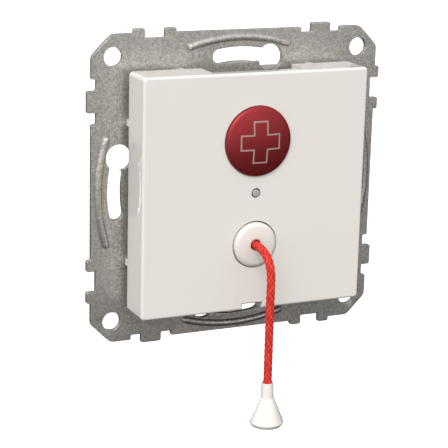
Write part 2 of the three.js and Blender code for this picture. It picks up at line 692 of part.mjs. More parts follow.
function pullSwitch() {
  const { x, front, halfZ } = PULL_SWITCH;
  const body = block(x, [front, ON_BOARD], around(CORD_Z, halfZ));
  const ears = [-1, 1].map((side) => {
    const [low, high] = sided(side, halfZ - EAR.thickness, halfZ);
    return block(EAR.x, EAR.y, [CORD_Z + low, CORD_Z + high]);
  });
  const well = rod(SWITCH_PLUNGER.r + GAP, ROOM_SIDE, SWITCH_PLUNGER.wellRear, SWITCH_PLUNGER.x, CORD_Z);
  const pinBores = alongZ(EAR.bore, around(CORD_Z, halfZ + 1), LEVER.pivotX, LEVER.y);
  return cut(join(body, ...ears), well, pinBores);
}

function alongZ(r, z, x, y) {
  const geometry = new THREE.CylinderGeometry(r, r, z[1] - z[0], TINY_ROUND);
  geometry.rotateX(Math.PI / 2);
  geometry.translate(x, y, (z[0] + z[1]) / 2);
  return solidOf(geometry);
}

function switchLever() {
  const { pivotX, tipX, y, halfT, halfZ, eyeR, eyeBore } = LEVER;
  const width = around(CORD_Z, halfZ);
  const blade = block([tipX, pivotX - eyeR + 0.35], around(y, halfT), width);
  const eye = alongZ(eyeR, width, pivotX, y);
  return cut(join(blade, eye), alongZ(eyeBore, around(CORD_Z, halfZ + 1), pivotX, y));
}

function switchPlunger() {
  const { x, r, rear } = SWITCH_PLUNGER;
  const front = LEVER.y + LEVER.halfT + GAP;
  return rod(r, front, rear, x, CORD_Z, TINY_ROUND);
}

function leverPin() {
  return alongZ(LEVER_PIN_R, around(CORD_Z, PULL_SWITCH.halfZ), LEVER.pivotX, LEVER.y);
}

piece("pull_switch", pullSwitch(), COLOURS.blackPlastic);
piece("pull_switch_plunger", switchPlunger(), COLOURS.redGloss);
piece("pull_switch_lever", switchLever(), COLOURS.springSteel);
piece("lever_pin", leverPin(), COLOURS.springSteel);

// ---- Pull cord with its knots and handle ------------------------------------------------------------
// The cord's middle line as [y, z] at x = 0: knot, bushing, bend, hanging run, handle.
const CORD_ROUTE = [
  [2.0, -12.0],
  [-1.0, -12.0],
  [-4.0, -12.0],
  [-7.0, -12.0],
  [-10.0, -12.0],
  [-13.0, -12.0],
  [-14.6, -12.03],
  [-16.2, -12.25],
  [-17.9, -12.75],
  [-19.4, -13.65],
  [-20.5, -14.95],
  [-21.1, -16.5],
  [-21.3, -18.4],
  [-21.3, -20.6],
  [-21.25, -23.2],
  [-21.2, -26.2],
  [-21.2, -29.4],
  [-21.2, -32.6],
  [-21.2, -35.8],
  [-21.2, -39.0],
  [-21.2, -42.2],
  [-21.2, -44.6],
  [-21.2, -46.6],
];
const cordLine = new THREE.CatmullRomCurve3(CORD_ROUTE.map(([y, z]) => new THREE.Vector3(0, y, z)));

function pullCord() {
  const section = new THREE.Shape();
  section.absarc(0, 0, CORD_R, 0, 2 * Math.PI);
  return solidOf(
    new THREE.ExtrudeGeometry(section, {
      steps: 36,
      curveSegments: 4,
      bevelEnabled: false,
      extrudePath: cordLine,
    }),
  );
}

// A turned piece that hangs under the cord. The profile is [radius, z] from bottom to top.
function hanging(profile, segments) {
  const geometry = new THREE.LatheGeometry(profile.map(([r, z]) => new THREE.Vector2(r, z)), segments);
  geometry.rotateX(Math.PI / 2);
  geometry.translate(0, CORD_HANG_Y, 0);
  return solidOf(geometry);
}

const CORD_END = -46.6;
const KNOT_TOP = CORD_END - GAP;
const HANDLE_PROFILE = [
  [CORD_BORE_R, CORD_END],
  [2.15, CORD_END],
  [3.25, -52.0],
  [3.35, -52.6],
  [3.75, -52.6],
  [4.0, -52.3],
  [4.08, -51.7],
  [1.66, -46.2],
  [1.5, HANDLE_TOP - 0.1],
  [1.4, HANDLE_TOP],
  [CORD_BORE_R, HANDLE_TOP],
  [CORD_BORE_R, CORD_END],
];
const HANDLE_KNOT_PROFILE = [
  [0, -50.0],
  [1.1, -49.8],
  [1.7, -49.1],
  [1.8, -48.2],
  [1.4, -47.2],
  [0.6, KNOT_TOP],
  [0, KNOT_TOP],
];
const CORD_KNOT_PROFILE = [
  [0, 4.9],
  [1.2, 4.8],
  [1.9, 4.1],
  [2.0, 3.4],
  [1.7, 2.6],
  [1.0, 2.3],
  [0, 2.3],
];
piece("pull_cord", pullCord(), COLOURS.redCord);
piece("cord_knot", turned(CORD_KNOT_PROFILE, 0, CORD_Z, SMALL_ROUND), COLOURS.redCord);
piece("handle_knot", hanging(HANDLE_KNOT_PROFILE, SMALL_ROUND), COLOURS.redCord);
piece("cord_handle", hanging(HANDLE_PROFILE, ROUND), COLOURS.whitePlastic);

export default root;
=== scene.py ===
# %% [markdown]
# # A pull cord switch
#
# The object is a flush-mounted call unit: a stamped steel plate, a white plastic cover, a domed
# red button with a cross on it, a small light, and a braided cord that hangs from a bushing and
# ends in a bell-shaped handle. Behind the plate sits a stepped housing with the electrics.
#
# Its sizes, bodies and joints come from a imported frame. This lesson gives it its looks: finer
# meshes where the frame is coarse, and a finish for every surface. Nothing is moved or resized.

# %% Load the frame
import math

import bmesh
import bpy
from mathutils import Matrix, Vector


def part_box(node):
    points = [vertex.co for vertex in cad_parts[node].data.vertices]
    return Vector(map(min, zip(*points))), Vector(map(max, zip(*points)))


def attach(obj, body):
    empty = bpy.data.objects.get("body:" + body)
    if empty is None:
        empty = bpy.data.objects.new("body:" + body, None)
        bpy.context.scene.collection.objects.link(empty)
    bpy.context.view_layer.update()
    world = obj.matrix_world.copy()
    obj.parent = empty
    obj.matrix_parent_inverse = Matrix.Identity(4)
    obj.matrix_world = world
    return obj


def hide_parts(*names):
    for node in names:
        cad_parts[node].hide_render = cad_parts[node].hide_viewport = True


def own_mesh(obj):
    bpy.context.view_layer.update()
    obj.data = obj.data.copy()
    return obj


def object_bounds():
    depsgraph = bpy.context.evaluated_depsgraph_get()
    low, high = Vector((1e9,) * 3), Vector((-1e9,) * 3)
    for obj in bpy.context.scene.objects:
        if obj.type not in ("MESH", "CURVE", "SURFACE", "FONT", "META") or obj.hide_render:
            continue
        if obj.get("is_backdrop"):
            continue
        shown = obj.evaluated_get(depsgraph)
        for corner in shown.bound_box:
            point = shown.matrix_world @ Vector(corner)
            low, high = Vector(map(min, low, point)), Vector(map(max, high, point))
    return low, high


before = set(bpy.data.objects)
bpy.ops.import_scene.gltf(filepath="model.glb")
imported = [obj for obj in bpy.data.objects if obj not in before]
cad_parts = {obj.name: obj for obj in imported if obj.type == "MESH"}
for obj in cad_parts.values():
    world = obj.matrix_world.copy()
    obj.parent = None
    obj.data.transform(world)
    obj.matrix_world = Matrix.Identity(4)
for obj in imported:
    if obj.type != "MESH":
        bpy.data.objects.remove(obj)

MM = 0.001
frame_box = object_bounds()


def cad_box(node):
    """A frame node's lowest and highest corner, in millimetres."""
    low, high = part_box(node)
    return Vector(low) / MM, Vector(high) / MM


plate_low, plate_high = cad_box("mounting_plate")
cover_low, cover_high = cad_box("centre_plate")
print("plate %.1f mm across, cover %.1f mm" % (plate_high.x - plate_low.x, cover_high.x - cover_low.x))

# %% [markdown]
# ## The camera
#
# The unit hangs on a wall, so it is looked at from the left and a little from above, at about
# 37 cm. A long lens keeps the edges of the square cover nearly parallel. The camera could track an
# empty, but turning it by its own three angles says exactly where it stands, and a small sensor
# shift centres the subject without changing the perspective.

# %% Camera
CAMERA_PLACE = Vector((-152.923, -330.316, 85.608))
CAMERA_TURN = math.radians(-24.79)
CAMERA_TILT = math.radians(15.20)
CAMERA_ROLL = math.radians(1.527)
FOCAL_LENGTH = 129.11
SENSOR_WIDTH = 36
SENSOR_SHIFT = (-0.0154, 0.0276)

camera_data = bpy.data.cameras.new("camera")
camera_data.sensor_width = SENSOR_WIDTH
camera_data.lens = FOCAL_LENGTH
camera_data.shift_x, camera_data.shift_y = SENSOR_SHIFT
camera_data.clip_start = 0.01
camera = bpy.data.objects.new("camera", camera_data)
bpy.context.scene.collection.objects.link(camera)
camera.matrix_world = (
    Matrix.Translation(CAMERA_PLACE * MM)
    @ Matrix.Rotation(CAMERA_TURN, 4, "Z")
    @ Matrix.Rotation(math.pi / 2 - CAMERA_TILT, 4, "X")
    @ Matrix.Rotation(CAMERA_ROLL, 4, "Z")
)
bpy.context.scene.camera = camera
print("camera stands %.0f mm from the plate" % CAMERA_PLACE.length)

# %% [markdown]
# ## Writing shaders as expressions
#
# A shader is a graph, and long graphs are hard to read as code. The small class below wraps a
# socket, so that `1 - mask * 0.3` adds its Math nodes by itself. Every other node comes from one
# method, which takes the node's type, its settings and then the values or links of its sockets.

# %% Shader helpers
def srgb(red, green, blue):
    """A colour as seen on a screen, 0 to 255, as the linear colour that a shader takes."""
    linear = []
    for value in (red / 255, green / 255, blue / 255):
        linear.append(value / 12.92 if value <= 0.04045 else ((value + 0.055) / 1.055) ** 2.4)
    return (*linear, 1.0)


class Signal:
    """An output socket that can be used in arithmetic. Each operator adds a Math node."""

    def __init__(self, graph, socket):
        self.graph = graph
        self.socket = socket

    def maths(self, operation, *values):
        inputs = dict(enumerate(values))
        return self.graph.node("ShaderNodeMath", {"operation": operation}, inputs)

    def __add__(self, other):
        return self.maths("ADD", self, other)

    def __radd__(self, other):
        return self.maths("ADD", other, self)

    def __rsub__(self, other):
        return self.maths("SUBTRACT", other, self)

    def __mul__(self, other):
        return self.maths("MULTIPLY", self, other)


class Graph:
    """The node tree of a material or of the surroundings."""

    def __init__(self, tree):
        self.tree = tree

    def node(self, kind, settings=None, inputs=None, output=0):
        """Adds a node: its settings first, then the values or links of its sockets."""
        node = self.tree.nodes.new(kind)
        for name, value in (settings or {}).items():
            if name == "stops":
                self.set_stops(node.color_ramp.elements, value)
            else:
                setattr(node, name, value)
        self.fill(node, inputs or {})
        return Signal(self, node.outputs[output])

    def set_stops(self, elements, stops):
        while len(elements) < len(stops):
            elements.new(1)
        for element, (position, colour) in zip(elements, stops):
            element.position = position
            element.color = colour

    def fill(self, node, inputs):
        for key, value in inputs.items():
            if isinstance(value, Signal):
                self.tree.links.new(value.socket, node.inputs[key])
            else:
                node.inputs[key].default_value = value

    def place(self, stretch=(1, 1, 1)):
        """Object coordinates, stretched along X, Y or Z."""
        at = self.node("ShaderNodeTexCoord", output="Object")
        return self.node("ShaderNodeMapping", inputs={"Vector": at, "Scale": stretch})

    def noise(self, per_mm, detail=2, stretch=(1, 1, 1)):
        inputs = {"Vector": self.place(stretch), "Scale": per_mm / MM, "Detail": detail}
        return self.node("ShaderNodeTexNoise", inputs=inputs)

    def mix(self, factor, first, second):
        """A colour between two colours."""
        inputs = {0: factor, 6: first, 7: second}
        return self.node("ShaderNodeMix", {"data_type": "RGBA"}, inputs, output=2)

    def ramp(self, value, stops):
        """A value between 0 and 1, spread by a ramp of (position, grey) stops."""
        greys = [(position, (grey, grey, grey, 1)) for position, grey in stops]
        return self.node("ShaderNodeValToRGB", {"stops": greys}, {"Fac": value})

    def bump(self, height, distance_mm):
        inputs = {"Height": height, "Strength": 1.0, "Distance": distance_mm * MM}
        return self.node("ShaderNodeBump", inputs=inputs)


class Finish(Graph):
    """A material in the making, with its Principled shader."""

    def __init__(self, name):
        self.material = bpy.data.materials.new(name)
        self.material.use_nodes = True
        super().__init__(self.material.node_tree)

    def surface(self, inputs):
        self.fill(self.tree.nodes["Principled BSDF"], inputs)


print("shader helpers ready")

# %% [markdown]
# ## Studio
#
# The light is that of a soft studio. The surroundings are bright towards the upper left and dim
# towards the lower right, which shades round parts as a large softbox would, and little light comes
# from below. A lamp from the upper left adds direction, a weak one fills the right side, and one
# lights the back. A sun lamp with a wide angle gives the same light at every distance, which a small
# object and a far floor both need. Seen directly, the surroundings are plain white, like the floor.

# %% Surroundings and lamps
FLOOR_DROP = 350
FLOOR_HALF = 12000
BRIGHT_SIDE = Vector((-0.62, -0.50, 0.60)).normalized()
WORLD_STOPS = [(0.0, 0.02), (0.36, 0.12), (0.56, 0.62), (0.8, 1.0)]
HORIZON_STOPS = [(0.3, 0.12), (0.5, 1.0)]
WORLD_STRENGTH = 1.14
PLAIN_WHITE = (1, 1, 1, 1)


def surroundings():
    """A world whose brightness grows towards the bright side and falls off below the horizon."""
    world = bpy.data.worlds.new("studio")
    world.use_nodes = True
    graph = Graph(world.node_tree)
    direction = graph.node("ShaderNodeTexCoord", output="Generated")
    towards = graph.node(
        "ShaderNodeVectorMath", {"operation": "DOT_PRODUCT"}, {0: direction, 1: BRIGHT_SIDE}, output="Value",
    )
    height = graph.node("ShaderNodeSeparateXYZ", inputs={"Vector": direction}, output="Z")
    above = graph.ramp(height * 0.5 + 0.5, HORIZON_STOPS)
    light = graph.ramp(towards * 0.5 + 0.5, WORLD_STOPS) * above
    seen = graph.node("ShaderNodeLightPath", output="Is Camera Ray")
    light = graph.mix(seen, light, PLAIN_WHITE)
    graph.fill(world.node_tree.nodes["Background"], {"Color": light, "Strength": WORLD_STRENGTH})
    return world


def lamp(name, direction, strength, spread):
    """A soft lamp that shines from a direction, with its spread in degrees."""
    data = bpy.data.lights.new(name, "SUN")
    data.energy = strength
    data.angle = math.radians(spread)
    light = bpy.data.objects.new(name, data)
    light.rotation_euler = Vector(direction).to_track_quat("Z", "Y").to_euler()
    bpy.context.scene.collection.objects.link(light)
    print(name, "shines from", direction)


bpy.context.scene.world = surroundings()
bpy.context.scene.view_settings.view_transform = "Standard"
lamp("key_lamp", (-0.42, -0.66, 0.62), 1.3, 34)
lamp("fill_lamp", (0.75, -0.60, 0.25), 0.12, 60)
lamp("back_lamp", (0.15, 0.97, -0.12), 2.2, 20)

# %% [markdown]
# ## White moulded plastic
#
# The cover, the bushing and the handle are warm white thermoplastic from a polished tool. One flat
# colour would look like paper. Real parts have a faint haze in the gloss, a slight drift in the
# white, and a very shallow waviness that makes reflections swim a little, so each of these is a
# slow noise with a small effect. A thin coat over them gives the mirror-like skin of such a tool.

# %% White plastic
def white_plastic():
    finish = Finish("white_moulded_plastic")
    drift = finish.noise(0.045, detail=3)
    haze = finish.noise(0.4, detail=4)
    waves = finish.noise(0.11, detail=2)
    grain = finish.noise(5.0, detail=2)
    finish.surface({
        "Base Color": finish.mix(drift, srgb(238, 233, 226), srgb(243, 238, 231)),
        "Roughness": 0.025 + haze * 0.05,
        "Coat Weight": 0.5,
        "Coat Roughness": 0.03,
        "Normal": finish.bump(waves * 0.6 + grain * 0.004, 0.02),
        "IOR": 1.55,
    })
    return finish.material


WHITE = white_plastic()
print(WHITE.name, len(WHITE.node_tree.nodes), "nodes")

# %% [markdown]
# ## Zinc-coated steel
#
# The plate is stamped from galvanised sheet. Its coat is a dull grey with a fine spangle: crystals
# of about a third of a millimetre, each with its own grey, and a few that catch the light. A cell
# texture, made uneven by a noise, gives every crystal its tone. Another noise picks out the bright
# flecks, and a slower one makes the faint clouds that keep a large flat area from looking even.

# %% Zinc
CRYSTALS_PER_MM = 2.8
WOBBLE = 0.25


def zinc_steel():
    finish = Finish("zinc_coated_steel")
    wobble = finish.noise(3.0, detail=2)
    at = finish.node("ShaderNodeVectorMath", {"operation": "MULTIPLY_ADD"}, {
        0: wobble, 1: (WOBBLE * MM, WOBBLE * MM, WOBBLE * MM), 2: finish.place(),
    })
    cells = finish.node(
        "ShaderNodeTexVoronoi", {"feature": "F1"},
        {"Vector": at, "Scale": CRYSTALS_PER_MM / MM}, output="Color",
    )
    crystal = finish.node("ShaderNodeSeparateColor", inputs={"Color": cells})
    fleck = finish.ramp(finish.noise(2.6, detail=2), [(0.60, 0), (0.72, 1)])
    cloud = finish.noise(0.16, detail=3)
    pits = finish.noise(5.0, detail=2)
    tone = crystal * 0.48 + pits * 0.14 + cloud * 0.12 + fleck * 0.44
    finish.surface({
        "Base Color": finish.mix(tone, srgb(152, 147, 141), srgb(242, 238, 232)),
        "Metallic": 0.85,
        "Roughness": 0.44 - crystal * 0.16,
        "Normal": finish.bump(crystal * 0.6 + pits * 0.4, 0.035),
    })
    return finish.material


ZINC = zinc_steel()
print(ZINC.name, len(ZINC.node_tree.nodes), "nodes")

# %% [markdown]
# ## Red button
#
# The button is a deep red moulding with a metallic look, softly glossy, so its dome runs from a
# light red where it faces the lamp to a dark wine red. Part metal and part plastic in the shader
# gives that depth, and a fine flake in colour and bump keeps it from looking like enamel. The
# cross on it is a pale line, a little worn.

# %% Red plastic and the line of the cross
def red_plastic():
    finish = Finish("red_button_plastic")
    flake = finish.noise(6.0, detail=2)
    cloud = finish.noise(0.2, detail=3)
    finish.surface({
        "Base Color": finish.mix(flake * 0.5 + cloud * 0.5, srgb(150, 40, 46), srgb(168, 52, 56)),
        "Metallic": 0.75,
        "Roughness": 0.36 + cloud * 0.06,
        "Normal": finish.bump(flake, 0.004),
        "Coat Weight": 0.15,
        "Coat Roughness": 0.3,
    })
    return finish.material


def pale_print():
    finish = Finish("pale_printed_line")
    wear = finish.noise(2.5, detail=4)
    finish.surface({
        "Base Color": finish.mix(wear, srgb(160, 130, 122), srgb(186, 158, 148)),
        "Roughness": 0.45 + wear * 0.2,
        "Metallic": 0.1,
    })
    return finish.material


RED = red_plastic()
PRINT = pale_print()
print(RED.name, "and", PRINT.name)

# %% [markdown]
# ## Braided cord
#
# The cord is braided from bright red yarn. The braid itself is modelled in the mesh, which also
# stores how high each spot lies and which yarn it belongs to. The finish reads both: the valleys
# get painted shade, a dark red where the braid lies low, while the crowns keep the yarn's red.
# Each yarn has its own tone, and a fine noise stands for fibres.

# %% Red cord
def red_yarn():
    finish = Finish("red_braided_yarn")
    crown = finish.node("ShaderNodeAttribute", {"attribute_name": "crown"}, output="Fac")
    yarn = finish.node("ShaderNodeAttribute", {"attribute_name": "yarn"}, output="Fac")
    fibre = finish.noise(9.0, detail=3)
    lit = finish.mix(yarn, srgb(204, 34, 30), srgb(246, 66, 54))
    frayed = finish.mix(fibre * 0.3, lit, srgb(240, 116, 98))
    finish.surface({
        # Painted shade: where the braid lies low, the colour goes to a dark red, as shade between the yarns.
        "Base Color": finish.mix(finish.ramp(crown, [(0.15, 0), (0.7, 1)]), srgb(124, 18, 20), frayed),
        "Roughness": 0.72 + fibre * 0.2,
        "Normal": finish.bump(fibre, 0.05),
        "Specular IOR Level": 0.2,
    })
    return finish.material


YARN = red_yarn()
print(YARN.name)

# %% [markdown]
# ## Finishes behind the cover
#
# The carrier and housing are matt grey plastic with a spark-eroded grain. The slider and pusher
# are uncoloured acetal, the switches black, the terminals green, and the metal parts are nickel
# plated or drawn spring wire. The plastics share one recipe and the metals another, so a function
# for each takes what differs. The lacquered board and the frosted light pipe have their own.

# %% Inner finishes
def matt_plastic(name, dark, light, roughness, grain_mm):
    """A moulded plastic with an eroded grain and a slow drift of colour."""
    finish = Finish(name)
    drift = finish.noise(0.08, detail=3)
    grain = finish.noise(3.2, detail=4)
    finish.surface({
        "Base Color": finish.mix(drift * 0.6 + grain * 0.4, srgb(*dark), srgb(*light)),
        "Roughness": roughness + grain * 0.15,
        "Normal": finish.bump(grain, grain_mm),
    })
    return finish.material


def drawn_metal(name, dark, light, roughness, stretch):
    """A bare or plated metal with fine streaks along one direction."""
    finish = Finish(name)
    streaks = finish.noise(3.0, detail=4, stretch=stretch)
    bloom = finish.noise(0.5, detail=2)
    finish.surface({
        "Base Color": finish.mix(streaks * 0.6 + bloom * 0.4, srgb(*dark), srgb(*light)),
        "Metallic": 1.0,
        "Roughness": roughness + streaks * 0.15,
        "Normal": finish.bump(streaks, 0.01),
    })
    return finish.material


GREY = matt_plastic("grey_moulded_plastic", (172, 170, 164), (192, 190, 185), 0.42, 0.03)
ACETAL = matt_plastic("natural_acetal", (205, 200, 184), (226, 222, 210), 0.4, 0.015)
BLACK = matt_plastic("black_moulded_plastic", (34, 35, 38), (50, 51, 54), 0.4, 0.02)
GREEN = matt_plastic("green_terminal_plastic", (44, 118, 74), (64, 148, 94), 0.38, 0.02)
WIRE = drawn_metal("spring_wire", (150, 150, 148), (200, 200, 198), 0.22, (1, 6, 1))
NICKEL = drawn_metal("nickel_plate", (168, 162, 148), (212, 206, 192), 0.25, (1, 1, 1))


def solder_mask():
    """Green lacquer over copper tracks, which show as slightly raised, lighter lines."""
    finish = Finish("green_solder_mask")
    waves = finish.node(
        "ShaderNodeTexWave", {"bands_direction": "Z"},
        {"Vector": finish.place(), "Scale": 260, "Distortion": 1.2, "Detail": 1},
        output="Fac",
    )
    track = finish.ramp(waves, [(0.55, 0), (0.62, 1)])
    weave = finish.noise(2.0, detail=3)
    finish.surface({
        "Base Color": finish.mix(track * 0.6 + weave * 0.2, srgb(30, 84, 52), srgb(66, 132, 82)),
        "Roughness": 0.3 + weave * 0.12,
        "Normal": finish.bump(track, 0.03),
    })
    return finish.material


def frosted_lens():
    """The end of the light pipe, frosted so that it glows evenly when lit."""
    finish = Finish("frosted_light_pipe")
    frost = finish.noise(5.0, detail=3)
    finish.surface({
        "Base Color": finish.mix(frost, srgb(176, 176, 172), srgb(204, 203, 199)),
        "Roughness": 0.25 + frost * 0.2,
        "Normal": finish.bump(frost, 0.01),
        "Transmission Weight": 0.15,
    })
    return finish.material


BOARD = solder_mask()
LENS = frosted_lens()
print(len(bpy.data.materials), "materials")

# %% [markdown]
# ## Turning bmeshes into pieces
#
# All modelling below is done in millimetres, because moulding radii read well in them and Boolean
# cuts are steadier at that scale. A piece is scaled to metres once, at the very end, in its mesh,
# so its object stays at the origin, unturned and unscaled, with its place in its mesh.

# %% Piece helpers
SMOOTH_UP_TO = math.radians(32)


def as_object(bm, name):
    """Links an object made from a bmesh, and frees the bmesh."""
    mesh = bpy.data.meshes.new(name)
    bm.to_mesh(mesh)
    bm.free()
    obj = bpy.data.objects.new(name, mesh)
    bpy.context.scene.collection.objects.link(obj)
    return obj


def face_outwards(bm):
    """Turns all faces outwards. A closed mesh whose volume comes out negative is inside out."""
    bmesh.ops.recalc_face_normals(bm, faces=bm.faces)
    if bm.calc_volume(signed=True) < 0:
        bmesh.ops.reverse_faces(bm, faces=bm.faces)


def settle(obj):
    """Replaces an object's mesh by what its modifiers make of it."""
    evaluated = obj.evaluated_get(bpy.context.evaluated_depsgraph_get())
    mesh = bpy.data.meshes.new_from_object(evaluated)
    obj.modifiers.clear()
    obj.data = mesh


def carve(obj, tools, operation="DIFFERENCE"):
    """Cuts tools out of an object, or joins them to it, and removes the tools.

    The manifold solver turns closed meshes into closed meshes, so no seam is left open.
    """
    for tool in tools:
        modifier = obj.modifiers.new("carve", "BOOLEAN")
        modifier.object = tool
        modifier.operation = operation
        modifier.solver = "MANIFOLD"
    settle(obj)
    for tool in tools:
        bpy.data.objects.remove(tool)


def complete(obj, body, material, stands_for=()):
    """Scales a piece to metres, shades it, gives it its finish and lets it ride on its body."""
    bm = bmesh.new()
    bm.from_mesh(obj.data)
    bmesh.ops.remove_doubles(bm, verts=bm.verts, dist=0.0005)
    face_outwards(bm)
    bmesh.ops.scale(bm, verts=bm.verts, vec=(MM, MM, MM))
    open_edges = sum(1 for edge in bm.edges if not edge.is_manifold)
    bm.to_mesh(obj.data)
    bm.free()
    obj.data.materials.clear()
    obj.data.materials.append(material)
    obj.data.shade_smooth()
    obj.data.set_sharp_from_angle(angle=SMOOTH_UP_TO)
    weighted = obj.modifiers.new("even shading", "WEIGHTED_NORMAL")
    weighted.keep_sharp = True
    settle(obj)
    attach(obj, body)
    if stands_for:
        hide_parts(*stands_for)
    print("%s: %d faces on %s, %d open edges" % (obj.name, len(obj.data.polygons), body, open_edges))
    return obj


# %% [markdown]
# ## Profiles with rounded corners
#
# A moulded part has no sharp corners. A profile is given as its few true corners, each with a
# radius, and the helper puts a short curve at each. Turned parts spin that profile round an axis;
# flat parts use it as their outline.

# %% Profile, turning and cutting helpers
def rounded(corners, steps=4, closed=True):
    """Points of an outline of (across, along, radius) corners, with each corner rounded."""
    points = []
    last = len(corners) - 1
    for i, (x, y, radius) in enumerate(corners):
        corner = Vector((x, y))
        if radius == 0 or (not closed and i in (0, last)):
            points.append(corner)
            continue
        before = Vector(corners[i - 1][:2])
        after = Vector(corners[(i + 1) % len(corners)][:2])
        start = corner + (before - corner).normalized() * radius
        end = corner + (after - corner).normalized() * radius
        for step in range(steps + 1):
            t = step / steps
            points.append(start * (1 - t) ** 2 + corner * 2 * t * (1 - t) + end * t ** 2)
    return points


def turned(profile, axis, centre, steps=64, closed=False):
    """Spins a profile of (radius, place along the axis) points round the X, Y or Z axis."""
    bm = bmesh.new()
    along = Vector([float(axis == name) for name in "XYZ"])
    out = Vector((0, 0, 1)) if axis == "X" else Vector((1, 0, 0))
    verts = [bm.verts.new(out * r + along * at + Vector(centre)) for r, at in profile]
    pairs = list(zip(verts, verts[1:])) + ([(verts[-1], verts[0])] if closed else [])
    edges = [bm.edges.new(pair) for pair in pairs]
    bmesh.ops.spin(
        bm, geom=verts + edges, cent=centre, axis=along, angle=2 * math.pi, steps=steps, use_merge=True,
    )
    bmesh.ops.remove_doubles(bm, verts=bm.verts, dist=0.0005)
    face_outwards(bm)
    return bm


def box(low, high, edge=0.0):
    """A box between two corners, its edges softened by a small bevel."""
    bm = bmesh.new()
    bmesh.ops.create_cube(bm, size=1)
    low, high = Vector(low), Vector(high)
    bmesh.ops.scale(bm, verts=bm.verts, vec=high - low)
    bmesh.ops.translate(bm, verts=bm.verts, vec=(low + high) / 2)
    if edge:
        bmesh.ops.bevel(
            bm, geom=bm.edges, offset=edge, segments=3, affect="EDGES", profile=0.5, material=-1,
        )
    return bm


def bevelled(bm, chosen, radius, segments):
    """Rounds the edges that a test chooses."""
    edges = [edge for edge in bm.edges if chosen(edge)]
    bmesh.ops.bevel(
        bm, geom=edges, offset=radius, segments=segments, affect="EDGES", profile=0.5, material=-1,
    )


def soft_block(low, high, corner_r, edge_r=0.0, edge_y=None):
    """A block with round corners about Y and, at one of its ends, a round edge."""
    bm = box(low, high)
    bevelled(bm, lambda e: abs(e.verts[0].co.y - e.verts[1].co.y) > 1, corner_r, 8)
    if edge_r:
        bevelled(bm, lambda e: all(abs(v.co.y - edge_y) < 0.01 for v in e.verts), edge_r, 6)
    return bm


def rod(radius, y_front, y_rear, x, z):
    """A plain round tool or pin along Y."""
    profile = [(0, y_rear), (radius, y_rear), (radius, y_front), (0, y_front)]
    return turned(profile, "Y", (x, 0, z), 48)


print("modelling helpers ready")

# %% [markdown]
# ## The braided cord
#
# The cord leaves the bushing, bends under its own weight and hangs straight down to the handle.
# A curve with a round bevel would give a smooth hose, so the cord starts as a flat grid instead:
# its long side is laid along the route and its short side is rolled round it. Each vertex then
# moves out by the height of the braid there, which six yarns make each way, over and under.

# %% Cord route and sizes
CORD_RADIUS = 1.0
CORD_ROUTE = [
    (2.0, -12.0), (-1.0, -12.0), (-4.0, -12.0), (-7.0, -12.0), (-10.0, -12.0), (-13.0, -12.0),
    (-14.6, -12.03), (-16.2, -12.25), (-17.9, -12.75), (-19.4, -13.65), (-20.5, -14.95),
    (-21.1, -16.5), (-21.3, -18.4), (-21.3, -20.6), (-21.25, -23.2), (-21.2, -26.2),
    (-21.2, -29.4), (-21.2, -32.6), (-21.2, -35.8), (-21.2, -39.0), (-21.2, -42.2),
    (-21.2, -44.6), (-21.2, -46.6),
]


def smooth_line(points, per_span=8):
    """A smooth line through all points, with a few steps to each span."""
    ends = [points[0] * 2 - points[1], *points, points[-1] * 2 - points[-2]]
    line = []
    for a, b, c, d in zip(ends, ends[1:], ends[2:], ends[3:]):
        for step in range(per_span):
            t = step / per_span
            line.append(0.5 * (2 * b + (c - a) * t + (2 * a - 5 * b + 4 * c - d) * t ** 2
                               + (3 * b - a - 3 * c + d) * t ** 3))
    return line + [points[-1]]


cord_line = smooth_line([Vector((0, y, z)) for y, z in CORD_ROUTE])
cord_length = sum((b - a).length for a, b in zip(cord_line, cord_line[1:]))
print("cord is %.1f mm long" % cord_length)

# %% Roll a grid round the route and raise the braid
YARNS = 6
BRAID_TURN = 8.4
BRAID_RELIEF = 0.18
AROUND = 80
ALONG = 700


def braid(turn, along):
    """Height from 0 to 1 of the braid at a place round and along the cord, and the yarn's number."""
    right = YARNS * turn + YARNS * along / BRAID_TURN
    left = YARNS * turn - YARNS * along / BRAID_TURN
    over = (math.floor(right) + math.floor(left)) % 2 == 0
    across, lengthwise = (right, left) if over else (left, right)
    width = 2 * (across % 1) - 1
    arch = 2 * (lengthwise % 1) - 1
    crown = math.sqrt(max(0.0, 1 - width * width)) * (1 - 0.45 * arch * arch)
    return crown, math.floor(across) + (0.5 if over else 0)


def frame_at(line, distance):
    """The point and the direction at a distance along a line."""
    for a, b in zip(line, line[1:]):
        step = (b - a).length
        if distance <= step or b is line[-1]:
            return a.lerp(b, distance / step), (b - a).normalized()
        distance -= step


def braided_tube(line, length, rings, name):
    bm = bmesh.new()
    crown_layer = bm.verts.layers.float.new("crown")
    yarn_layer = bm.verts.layers.float.new("yarn")
    bmesh.ops.create_grid(bm, x_segments=AROUND, y_segments=rings, size=0.5)
    frames = [frame_at(line, length * i / rings) for i in range(rings + 1)]
    for vert in bm.verts:
        turn = vert.co.x + 0.5
        share = vert.co.y + 0.5
        place, direction = frames[round(share * rings)]
        side = Vector((1, 0, 0))
        up = direction.cross(side)
        crown, yarn = braid(turn % 1, share * length)
        out = CORD_RADIUS - BRAID_RELIEF * (1 - crown)
        vert[crown_layer] = crown
        vert[yarn_layer] = (yarn * 0.37) % 1
        angle = 2 * math.pi * turn
        vert.co = place + out * (math.cos(angle) * side + math.sin(angle) * up)
    bmesh.ops.remove_doubles(bm, verts=bm.verts, dist=0.0005)
    bmesh.ops.holes_fill(bm, edges=[edge for edge in bm.edges if edge.is_boundary])
    face_outwards(bm)
    return as_object(bm, name)


cord = complete(
    braided_tube(cord_line, cord_length, ALONG, "braided_cord"), "cord", YARN, ["pull_cord"],
)

# %% [markdown]
# ## The bell-shaped handle
#
# The handle is one small moulding: a slim neck round the cord, a small shoulder, and a straight
# cone whose rim turns inwards underneath. It is round about the cord, so its profile is spun. The
# corners of the profile carry the moulding radii, and the hollow inside leaves room for the knot.

